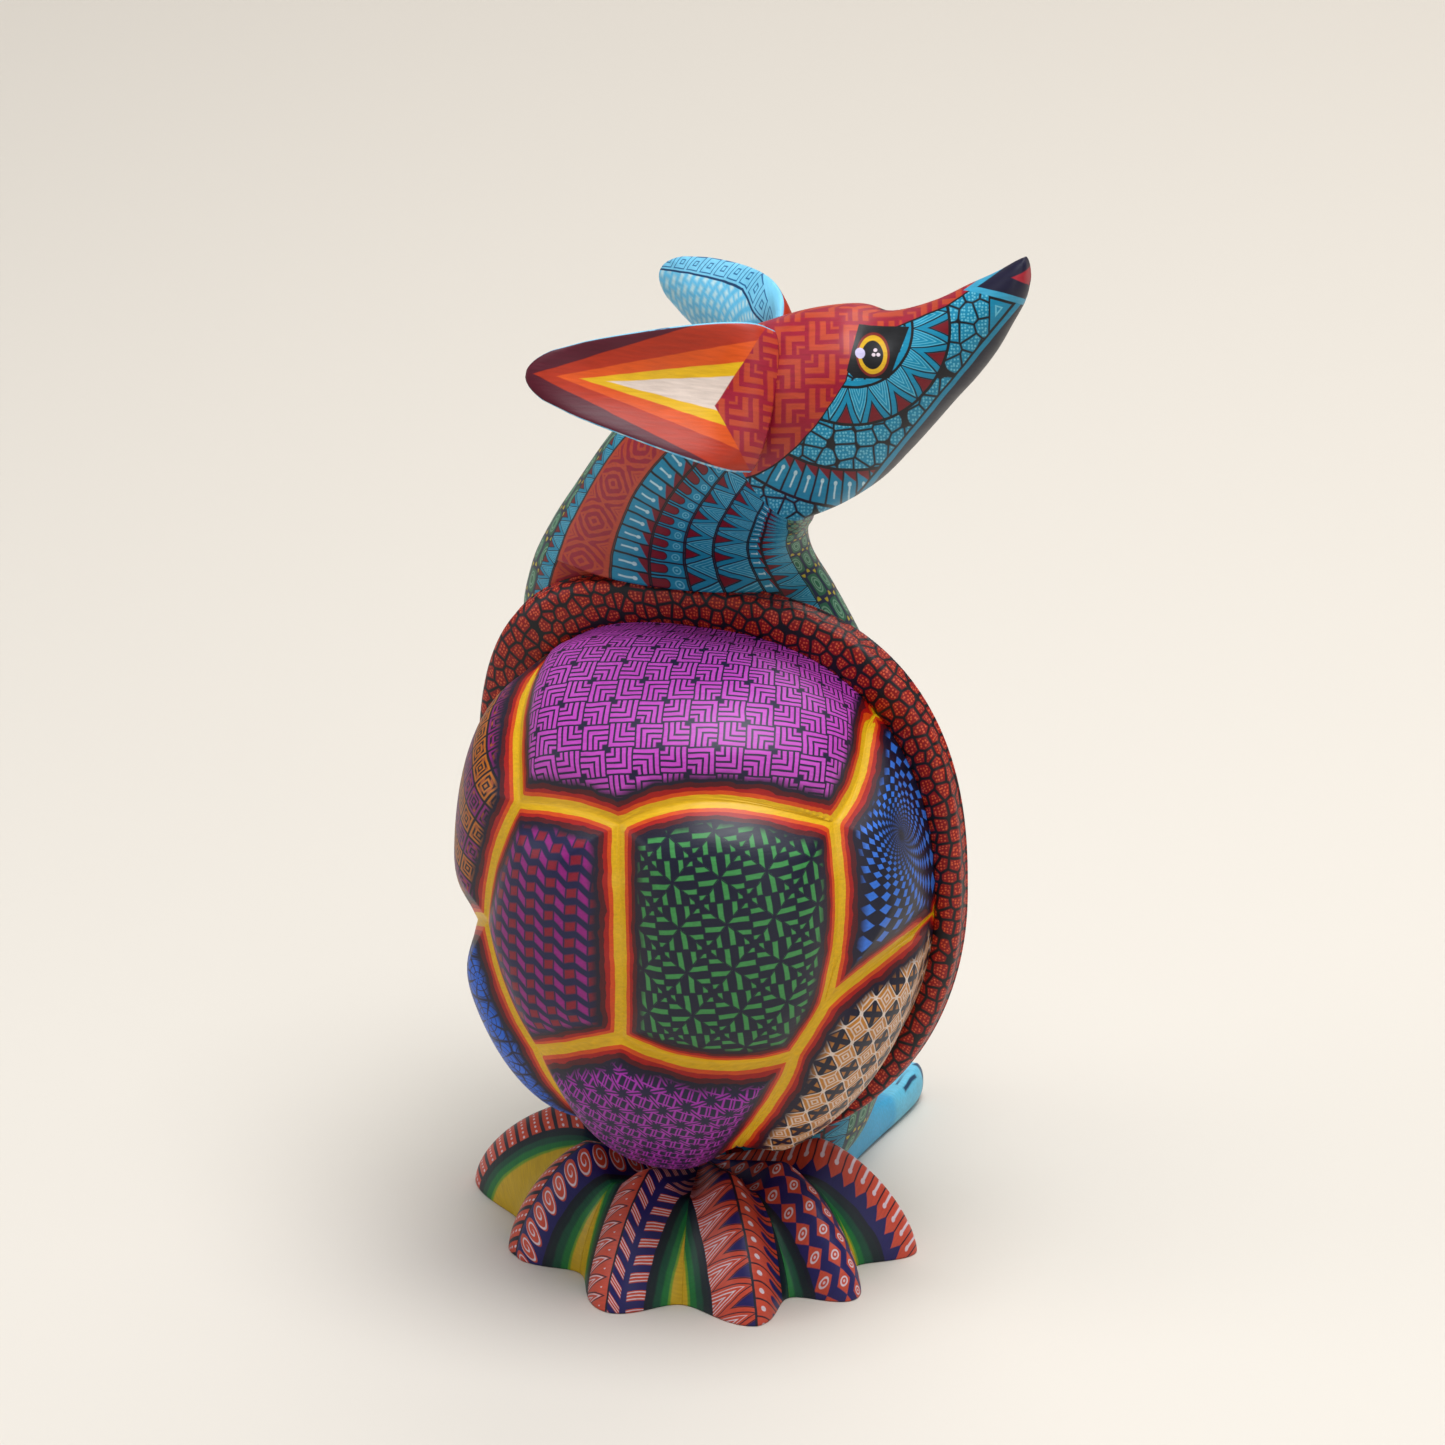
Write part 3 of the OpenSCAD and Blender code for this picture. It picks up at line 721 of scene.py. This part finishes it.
def on_dome(share, a):
    r = np.minimum(share, 1) * dome_r(a)
    out = DOME_DEPTH * np.maximum(0, 1 - np.minimum(share, 1) ** 2.8) ** (1 / 2.4)
    return grid(r * np.cos(a), -out, r * np.sin(a))


def groove(start, end):
    """Points along a groove, unrolled, or None where no groove runs."""
    key, back = start + " " + end, end + " " + start
    if key not in BENDS and back not in BENDS:
        return None
    a, c = np.array(KNOTS[start], float), np.array(KNOTS[end], float)
    b = 2 * np.array(BENDS.get(key, BENDS.get(back))) - (a + c) / 2
    t = np.linspace(0, 1, 40)[:, None]
    flat = (1 - t) ** 2 * a + 2 * t * (1 - t) * b + t * t * c
    angle = np.arctan2(flat[:, 1], flat[:, 0])
    share = np.hypot(*flat.T) / dome_r(angle)
    # A groove that ends on the rim is eased on to it
    for name, near in ((start, 1 - t[:, 0]), (end, t[:, 0])):
        if len(name) == 2:
            share = share * (1 + (1 / share[np.argmax(near)] - 1) * near ** 2)
    return unroll(np.minimum(share, 1), angle)


def unroll(share, angle):
    """A place on the dome, from its share of the way to the rim and its angle, laid out flat so that it isn't
    squeezed near the rim. roll takes it back."""
    lean = np.arcsin(share)
    return np.stack([lean * np.cos(angle), lean * np.sin(angle)], axis=-1)


def roll(flat):
    lean = np.minimum(np.hypot(flat[..., 0], flat[..., 1]), math.pi / 2)
    return np.sin(lean), np.arctan2(flat[..., 1], flat[..., 0])


def rim(start, end):
    """Points along the rim from one knot to another, unrolled, turning left."""
    first, last = (math.atan2(KNOTS[name][1], KNOTS[name][0]) for name in (start, end))
    angles = np.linspace(first, last if last > first else last + math.tau, 48)
    return unroll(np.ones_like(angles), angles)


GROOVE_POINTS = np.vstack([on_dome(*roll(groove(*key.split()))) for key in BENDS])


def scute(name, corners, pattern, tilt=8, origin=None):
    """One scute inside the grooves and the rim that join its corners. The pattern is turned by tilt, and
    starts from the origin, as x and height on the dome, or else from the middle of the scute."""
    corners = corners.split()
    sides = []
    for start, end in zip(corners, corners[1:] + corners[:1]):
        side = groove(start, end)
        sides.append((rim(start, end) if side is None else side)[:-1])
    border = np.vstack(sides + [sides[0][:1]])
    middle = border[:-1].mean(axis=0)
    steps = np.sin(np.linspace(0.02, math.pi / 2, 56))[::-1, None, None]
    share, angle = roll(middle + (border - middle)[None] * steps)
    base = on_dome(share, angle)
    near = np.full(share.shape, 1e3)
    for point in GROOVE_POINTS:
        near = np.minimum(near, np.linalg.norm(base - point, axis=-1))
    to_rim = np.hypot((1 - share) * RIM_RIGHT, base[..., 1] * 0.5)
    edge = np.maximum(0, -1.5 * np.log(np.exp(-near / 1.5) + np.exp(-to_rim / 1.5)))
    curved = np.array([RIM_RIGHT, DOME_DEPTH, RIM_UP]) ** -2.0
    out = unit(base * curved - [0, 4 * curved[1], 0])
    swell = SCUTE_SWELL * (1 - np.exp(-(edge / 9) ** 2)) - 0.5 * bell(near / 1.4)
    facing = out[-1].mean(axis=0)
    level = unit(np.cross([0, 0, 1], facing))
    upright = unit(np.cross(facing, level))
    cos, sin = math.cos(math.radians(tilt)), math.sin(math.radians(tilt))
    right, up = level * cos + upright * sin, upright * cos - level * sin
    start = base[-1].mean(axis=0)
    if origin:
        bearing = math.atan2(origin[1], origin[0])
        start = on_dome(math.hypot(*origin) / dome_r(bearing), np.array(bearing))
    away = base - start
    tangent = away - (away @ facing)[..., None] * facing
    stretch = np.linalg.norm(away, axis=-1) / np.maximum(np.linalg.norm(tangent, axis=-1), 1e-6)
    paint = grid((tangent @ right) * stretch, (tangent @ up) * stretch, near)
    points = base + out * swell[..., None] + [0, 0, DOME_Z]
    material = painted(name + " paint", lambda u, v, w: scute_paint(u, v, w, pattern), 0.35)
    piece(name, points, paint, material, replaces=("carapace",), ends=(False, True))


def scute_paint(u, v, w, pattern):
    """A scute's own pattern inside the yellow, orange, red and maroon that climb out of the groove."""
    sway = Num(noise(join(u * 0.12, v * 0.12), 1.0, 3).outputs["Fac"]) - 0.5
    fine = w + sway
    wide = w + sway * 3.4
    return coat(pattern(u, v), (below(wide, 7.2, 2.2), rgb(26, 16, 44)), (below(wide, 5.4, 0.15), MAROON),
                (below(wide, 4.1, 0.12), RED), (below(fine, 3.0, 0.12), ORANGE),
                (below(fine, 1.9, 0.12), YELLOW))


def flange_paint(u, v, w):
    return pebbles(u, v, 4.2, 0.42, rgb(160, 20, 22), rgb(240, 100, 60), 1.0)


def purple_frets(x, y):
    return chevrons(x, y, 7.2, rgb(30, 20, 60), rgb(214, 84, 208), 4.6, 0.36)


# Round the flange's section: out from the dome's edge, as a share of the flange's width, and y
FLANGE_PROFILE = [[-0.12, 0.8], [0.02, -0.6], [0.2, -1.1], [0.5, -1.2], [0.82, -0.7], [1, 1], [1.005, 3.3],
                  [1, 5.5], [0.8, FLANGE_T], [-1.5, FLANGE_T], [-5.0, FLANGE_T]]


def shell():
    scute("top_scute", "TL A B C TR", purple_frets)
    scute("block_scute", "A L F E B", tumbling, 0)
    scute("pinwheel_scute", "B E G D C", pinwheels)
    scute("whirl_scute", "C D WR TR", whirl, 0, (61, 28))
    scute("mosaic_scute", "GR WR D G", mosaic, 24)
    scute("weave_scute", "F FR GR G E", star_weave)
    scute("leaf_scute", "WL FR F L", leaves)
    scute("lattice_scute", "TL WL L A", lattice, 20)
    a = turn(300) - math.pi / 2
    off, y = through(FLANGE_PROFILE, np.linspace(0, len(FLANGE_PROFILE) - 1, 71)).T[:, :, None]
    r = dome_r(a) + (rim_r(a) - dome_r(a)) * off
    points = grid(r * np.cos(a), y, DOME_Z + r * np.sin(a))
    paint = grid(run(points[30])[None, :], run(points), 0.0)
    material = painted("flange paint", flange_paint, 0.5)
    piece("painted_flange", points, paint, material, replaces=("carapace",))


# ---- Tail fan ----

# Each rib's bearing, and how far its tip is from the middle of the fan
RIBS = [(-97, 75), (-47, 57), (-3, 64), (35, 69), (63, 66), (96, 64)]
# Half width of the painted back of each rib
RIB_HALVES = [9.5, 9.5, 9.5, 11, 8.5, 9]
FAN_X, FAN_EYE, FAN_END, FAN_SHOULDER, FAN_H, VALLEY_DEPTH = -5, 4, 14, 34, 32, 13
FAN_EYE_H = 0.7 * FAN_H
# As far as this from the middle line, the fan is cut flat in front, where the torso stands
FAN_FLAT = 46


def rib_split(x, left, right):
    """One pattern on each side of the crest, with a dark line between them."""
    return coat(left, (below(0.0, x, 0.3), right), (line(x, 0.35, 0.15), NIGHT))


def bars_with_dots(x, y, pitch=5.0):
    row = fract((y + x * 0.55) / pitch) - 0.5
    dot = below(radius(fract(x / 1.7) * 1.7 - 0.85, row * pitch), 0.42, 0.15)
    return coat(NIGHT, (below(abs(row), 0.36), SALMON), (dot & below(abs(row), 0.3), WHITE))


def rib_one(x, y):
    high = zigzag((x + 11.0) / 10.0, y, 7.5)
    veins = line(fract(high * 3.4) - 0.5, 0.13, 0.1)
    left = coat(NAVY, (below(0.0, high), SALMON), (veins & below(0.0, high), rgb(232, 160, 150)))
    return rib_split(x, left, bars_with_dots(x, y))


def rib_two(x, y):
    row = fract((y - x * 0.2) / 5.2) - 0.5
    p, q = (x - 5.0) / 4.4, row * 2.1
    leaf = radius(p, q)
    spiral = line(fract(leaf * 2.1 - calc("ARCTAN2", q, p) / math.tau) - 0.5, 0.13, 0.08)
    right = coat(NAVY, (below(leaf, 0.88), SALMON), (spiral & inside(leaf, 0.14, 0.86, 0.06), WHITE))
    return rib_split(x, bars_with_dots(x, y), right)


def rib_three(x, y):
    high = zigzag((x + 10.5) / 9.0, y, 5.4)
    veins = line(fract(high * 2.6) - 0.5, 0.15, 0.1) & below(0.0, high)
    dots = below(radius(fract(y / 5.4) * 5.4, x + 3.0), 0.4, 0.15)
    left = coat(SALMON, (veins, WHITE), (line(high, 0.06), NIGHT), (dots, WHITE))
    slant = fract((y + abs(x - 5.0) * 0.9) / 5.4)
    hatch = below(slant, 0.55) & below(0.9, abs(x - 5.0), 0.3)
    right = coat(NAVY, (hatch, SALMON), (hatch & line(fract(slant * 5.4) - 0.5, 0.16, 0.12), WHITE))
    return rib_split(x, left, right)


def rib_four(x, y):
    high = zigzag((x + 11.0) / 10.0, y, 8.2)
    veins = line(fract(high * 4.0) - 0.5, 0.17, 0.12) & below(0.12, high)
    left = coat(SALMON, (veins, WHITE), (below(high, -0.55), NAVY),
                (line(high + 0.1, 0.04) | line(high + 0.5, 0.04), NIGHT))
    row = fract(y / 5.1) - 0.5
    finger = below(radius(((6.6 - x) | 0.0) / 5.1, row), 0.24)
    dot = below(radius(x - 2.4, row * 5.1), 0.75, 0.2)
    right = coat(SALMON, (dot, WHITE), (finger, NAVY), (below(0.45, abs(row)), NIGHT))
    return rib_split(x, left, right)


def rib_five(x, y):
    across = fract(x / 5.2) - 0.5
    row = fract(y / 8.0 + odd(x / 5.2 + 10.0) * 0.5) - 0.5
    diamond = below(abs(across) + abs(row) * 0.95, 0.46)
    far = radius(across * 5.2, row * 8.0)
    return coat(NAVY, (diamond, SALMON), (inside(far, 0.9, 1.35, 0.2) | below(far, 0.35, 0.2), WHITE))


def rib_six(x, y):
    row = fract(y / 4.8) - 0.5
    tooth = below(x + 9.0, 0.5 + abs(row) * 5.0, 0.3)
    stem = line(row, 0.09) & inside(x, -4.6, 1.0, 0.3)
    dot = below(radius(abs(x + 1.8) - 2.8, row * 4.8), 0.7, 0.2)
    ticks = line(row, 0.3, 0.1) & below(6.8, x, 0.3) & line(fract(y / 1.2) - 0.5, 0.25, 0.2)
    return coat(SALMON, (stem | dot | ticks, WHITE), (below(0.45, abs(row)), NIGHT), (tooth, NAVY))


def rib_paint(pattern, half):
    """The painted back of a rib, and half of the channel on each side of it, in greens that turn yellow."""
    def draw(x, y, valley):
        """x and y run across and down the rib, and valley is the half width of the channel beside it."""
        beyond = abs(x) - half
        channel = coat(rgb(6, 34, 42), (below(1.6, beyond, 0.5), rgb(8, 84, 60)),
                       (below(3.1, beyond, 0.5), rgb(24, 128, 60)),
                       (below(4.6, beyond, 0.3), rgb(120, 170, 40)),
                       (below(5.2, beyond, 0.4), rgb(226, 184, 34)),
                       (below(valley, 2.0, 1.6), rgb(6, 30, 38)))
        # The patterns are drawn for a rib whose painted back is 21 mm wide
        return coat(pattern(x * (10.5 / half), y), (below(0.0, beyond, 0.2), channel),
                    (line(beyond, 0.35, 0.15), rgb(10, 20, 42)))
    return draw


def fan():
    first, last = RIBS[0], RIBS[-1]
    marks = [(first[0] - 2 * FAN_END, first[1])] + RIBS + [(last[0] + 2 * FAN_END, last[1])]
    # k is 0 at the eye of the fan, 1 on its shoulder and 14 at the tips
    k = np.linspace(0, 14, 90)[None, :]
    for i, draw in enumerate([rib_one, rib_two, rib_three, rib_four, rib_five, rib_six]):
        (before, tip_before), (crest, tip), (after, tip_after) = marks[i:i + 3]
        a = np.linspace((crest + after) / 2, (before + crest) / 2, 91)[:, None]
        gap = np.where(a > crest, after - crest, crest - before)
        off = np.minimum(np.abs(a - crest) / gap, 0.5)
        reach_tip = tip + np.where(a > crest, tip_after - tip, tip_before - tip) * off
        deep = (1 - np.cos(math.tau * off)) / 2
        high = FAN_H - 0.6 * deep * VALLEY_DEPTH
        reach = reach_tip - deep * VALLEY_DEPTH - FAN_SHOULDER
        out = 1 - (1 - np.maximum(k - 1, 0) / 13) ** 1.6
        r = np.where(k < 1, FAN_EYE + (FAN_SHOULDER - FAN_EYE) * k, FAN_SHOULDER + reach * out)
        slope = high * (1 - np.minimum(out, 1) ** 1.5) ** 0.65
        z = np.where(k < 1, FAN_EYE_H + (high - FAN_EYE_H) * k, slope)
        x, y = FAN_X + r * np.sin(np.radians(a)), -r * np.cos(np.radians(a))
        y = np.where(np.abs(x) < FAN_FLAT, np.minimum(y, FLANGE_T), y)
        points = grid(x, y, z)
        foot = points[:, :1] * [1, 1, 0]
        down = run(points.transpose(1, 0, 2)).T
        down = down - down[:, 8:9]
        paint = grid(np.radians(a - crest) * r, down, np.radians(gap) * r / 2 - RIB_HALVES[i])
        points = np.concatenate([foot, points, foot], axis=1)
        paint = np.concatenate([paint[:, :1], paint, paint[:, -1:]], axis=1)
        material = painted(f"rib {i + 1} paint", rib_paint(draw, RIB_HALVES[i]), 0.3)
        piece(f"fan_rib_{i + 1}", points, paint, material, replaces=("tail_fan",))


# ---- Limbs ----

# Along a foreleg from its shoulder: place and radius
FORELEG = [[0, 0, 0, 11], [5, 9.5, -6, 12], [8, 14, -20, 11.5], [8, 17, -36, 10], [3, 19.5, -48, 9.5],
           [-5, 20.5, -55, 9.5], [-10, 20, -58, 7.5], [-13, 19.5, -60, 2]]
SHOULDERS = {"right": [8, 61, 150], "left": [-38, 57, 150]}
# Along a hind foot: y, and shares of its half width and its height
FOOT_RINGS = [[22, 0.5, 0.6], [24, 0.7, 0.9], [30, 0.85, 1], [60, 0.85, 1], [75, 0.9, 0.85], [88, 0.98, 0.75],
              [100, 1.02, 0.82], [107, 0.92, 0.8], [111.5, 0.7, 0.65], [113, 0.4, 0.4]]
FOOT_X, FOOT_H, FOOT_HALF_W = 13, 14, 10


def foreleg(side):
    t = np.linspace(0, len(FORELEG) - 1, 120)
    path = through(FORELEG, t)
    ahead = through(FORELEG, np.minimum(t + 0.02, t[-1])) - through(FORELEG, np.maximum(t - 0.02, 0))
    way = unit(ahead[:, :3])
    across = unit(np.cross(way, [0.2, 0.1, 1]))
    up = np.cross(across, way)
    a = turn(64)[None, :, None]
    # Three shallow cuts part the toes of the paw
    degrees = np.degrees(a[..., 0])
    cuts = sum(bell((degrees - cut) / 9) for cut in (120, 180, 240))
    thick = path[:, 3, None] - 0.7 * bell((t[:, None] - 6.2) / 0.7) * cuts
    points = path[:, None, :3] + thick[..., None] * (across[:, None] * np.cos(a) + up[:, None] * np.sin(a))
    if side == "left":
        points = points[:, ::-1] * [-1, 1, 1]
    paint = grid(degrees * 0.19, run(path[:, :3])[:, None], 0.0)
    material = painted(f"{side} foreleg paint", lambda u, v, w: spotted(u, v, 8.5))
    piece(f"painted_{side}_foreleg", points + np.array(SHOULDERS[side]), paint, material,
          replaces=(side + "_foreleg",))


def foot_paint(u, v, w):
    hatch = line(fract(u / 2.6) - 0.5, 0.14, 0.1) & inside(v, 92.0, 101.0, 1.0) & inside(w, 3.0, 11.0, 1.0)
    claws = below(105.5, v, 1.0) & line(fract(u / 5.2) - 0.5, 0.3, 0.1)
    return coat(rgb(84, 196, 246), (below(84.0, v, 3.0), rgb(120, 220, 254)), (hatch, rgb(34, 72, 110)),
                (claws, rgb(40, 84, 124)))


def foot(side, sign):
    t = np.linspace(0, len(FOOT_RINGS) - 1, 90)
    y, w, h = through(FOOT_RINGS, t).T[:, :, None]
    a = turn(72)[None, :]
    across = FOOT_HALF_W * w * power(np.cos(a), 0.6)
    # Two shallow cuts part the toes
    cut = 0.9 * bell((y - 108) / 9) * (bell((across - 3.4) / 0.9) + bell((across + 3.4) / 0.9))
    tall = FOOT_H * h
    z = np.clip(tall * (0.5 + 0.62 * power(np.sin(a), 0.8)), 0, tall - 0.4 * (across / FOOT_HALF_W) ** 2)
    points = grid(sign * FOOT_X + across, y - cut, z)
    material = painted(f"{side} foot paint", foot_paint, 0.4)
    piece(f"painted_{side}_hind_foot", points, grid(across, y, z), material,
          replaces=(side + "_hind_foot",))


# ---- Bare wood of the pegs and dowels ----

def bare_wood():
    material, shader = shaded("bare wood")
    x, y, z = split(material.node_tree.nodes.new("ShaderNodeTexCoord").outputs["Object"])
    grain = Num(noise(join(x * 900.0, y * 120.0, z * 900.0), 1.0, 4).outputs["Fac"])
    fibre = Num(noise(join(x * 3000.0, y * 300.0, z * 3000.0), 1.0, 2).outputs["Fac"])
    colour = coat(rgb(206, 172, 124), (below(grain, 0.5, 0.3), rgb(176, 136, 88)),
                  (below(fibre, 0.36, 0.1), rgb(150, 110, 68)))
    plug(colour, shader.inputs["Base Color"])
    plug(0.55 + fibre * 0.25, shader.inputs["Roughness"])
    bumpy(shader, fibre * 0.1, 0.5)
    for name in ("neck_dowel", "right_ear_peg", "left_ear_peg", "carapace_dowels", "tail_dowels",
                 "foreleg_dowels", "foot_dowels"):
        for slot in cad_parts[name].material_slots:
            slot.material = material


# ---- Stage, light and camera, in metres ----

def stage():
    """A pale floor that sweeps up into a backdrop behind the animal."""
    extent, sweep_y, sweep_r, under_feet = 4.0, 3.4, 0.9, -0.0002
    curve = [(sweep_y + sweep_r * math.sin(a), sweep_r - sweep_r * math.cos(a))
             for a in np.radians(np.linspace(8, 90, 12))]
    profile = [(-extent, 0.0), (sweep_y, 0.0)] + curve + [(sweep_y + sweep_r, extent)]
    verts = [(x, y, z + under_feet) for y, z in profile for x in (-extent, extent)]
    faces = [(i, i + 1, i + 3, i + 2) for i in range(0, len(verts) - 2, 2)]
    mesh = bpy.data.meshes.new("floor")
    mesh.from_pydata(verts, [], faces)
    mesh.shade_smooth()
    material, shader = shaded("floor")
    shader.inputs["Base Color"].default_value = rgb(214, 207, 197)
    shader.inputs["Roughness"].default_value = 0.8
    mesh.materials.append(material)
    floor = bpy.data.objects.new("floor", mesh)
    bpy.context.scene.collection.objects.link(floor)


def area_light(name, place, aim, size, watts, colour):
    data = bpy.data.lights.new(name, "AREA")
    data.shape = "DISK"
    data.size = size
    data.energy = watts
    data.color = colour
    lamp = bpy.data.objects.new(name, data)
    lamp.location = place
    lamp.rotation_euler = (Vector(aim) - Vector(place)).to_track_quat("-Z", "Y").to_euler()
    bpy.context.scene.collection.objects.link(lamp)


def camera():
    """Behind and above the right shoulder of the shell, far enough away to look nearly parallel."""
    azimuth, elevation = math.radians(22), math.radians(22)
    cos, sin = math.cos(azimuth), math.sin(azimuth)
    right = np.array([cos, sin, 0])
    up = np.array([-sin * math.sin(elevation), cos * math.sin(elevation), math.cos(elevation)])
    back = np.cross(right, up)
    data = bpy.data.cameras.new("camera")
    data.lens = 250
    data.sensor_width = 36
    data.clip_end = 50
    # In millimetres: how wide the view is at the target, and where the target is
    view_w = 404.6
    target = 1.26 * right + 145.7 * up + 80 * back + MIDDLE
    eye = bpy.data.objects.new("camera", data)
    eye.location = (target + back * view_w * data.lens / data.sensor_width) * MM
    eye.rotation_euler = Vector(-back).to_track_quat("-Z", "Y").to_euler()
    bpy.context.scene.collection.objects.link(eye)
    bpy.context.scene.camera = eye


torso()
head()
ear("right_ear", root=[20, -18, 262.5], out=[-0.35, -0.84, 0.42], start_across=[0, 0.45, 0.9],
    end_across=[0, 0.45, 0.9], tip=[-38, -47, 272.5], stalk=18, size=1)
ear("left_ear", root=[11, 26, 258], out=[-0.35, 0.84, 0.42], start_across=[0, -0.45, 0.9],
    end_across=[0.3, 0.25, 0.92], tip=[-39, 53, 270], stalk=12, size=0.9)
shell()
fan()
foreleg("right")
foreleg("left")
foot("right", 1)
foot("left", -1)
bare_wood()
stage()
COOL, NEUTRAL, WARM = (0.94, 0.97, 1.0), (1, 1, 1), (1.0, 0.98, 0.95)
area_light("overhead", (0.3, -0.2, 1.7), (0, 0, 0.15), 1.3, 32, COOL)
area_light("side", (-1.5, -1.0, 0.8), (0, 0, 0.15), 1.0, 6, COOL)
area_light("fill", (1.5, -1.5, 0.7), (0, 0, 0.12), 1.2, 5, NEUTRAL)
area_light("backdrop", (0.0, 1.5, 1.5), (0, 1.5, 0), 1.8, 16, WARM)
camera()

world = bpy.data.worlds.new("studio")
world.use_nodes = True
world.node_tree.nodes["Background"].inputs["Color"].default_value = rgb(250, 248, 246)
world.node_tree.nodes["Background"].inputs["Strength"].default_value = 0.3
bpy.context.scene.world = world
bpy.context.scene.view_settings.view_transform = "Standard"
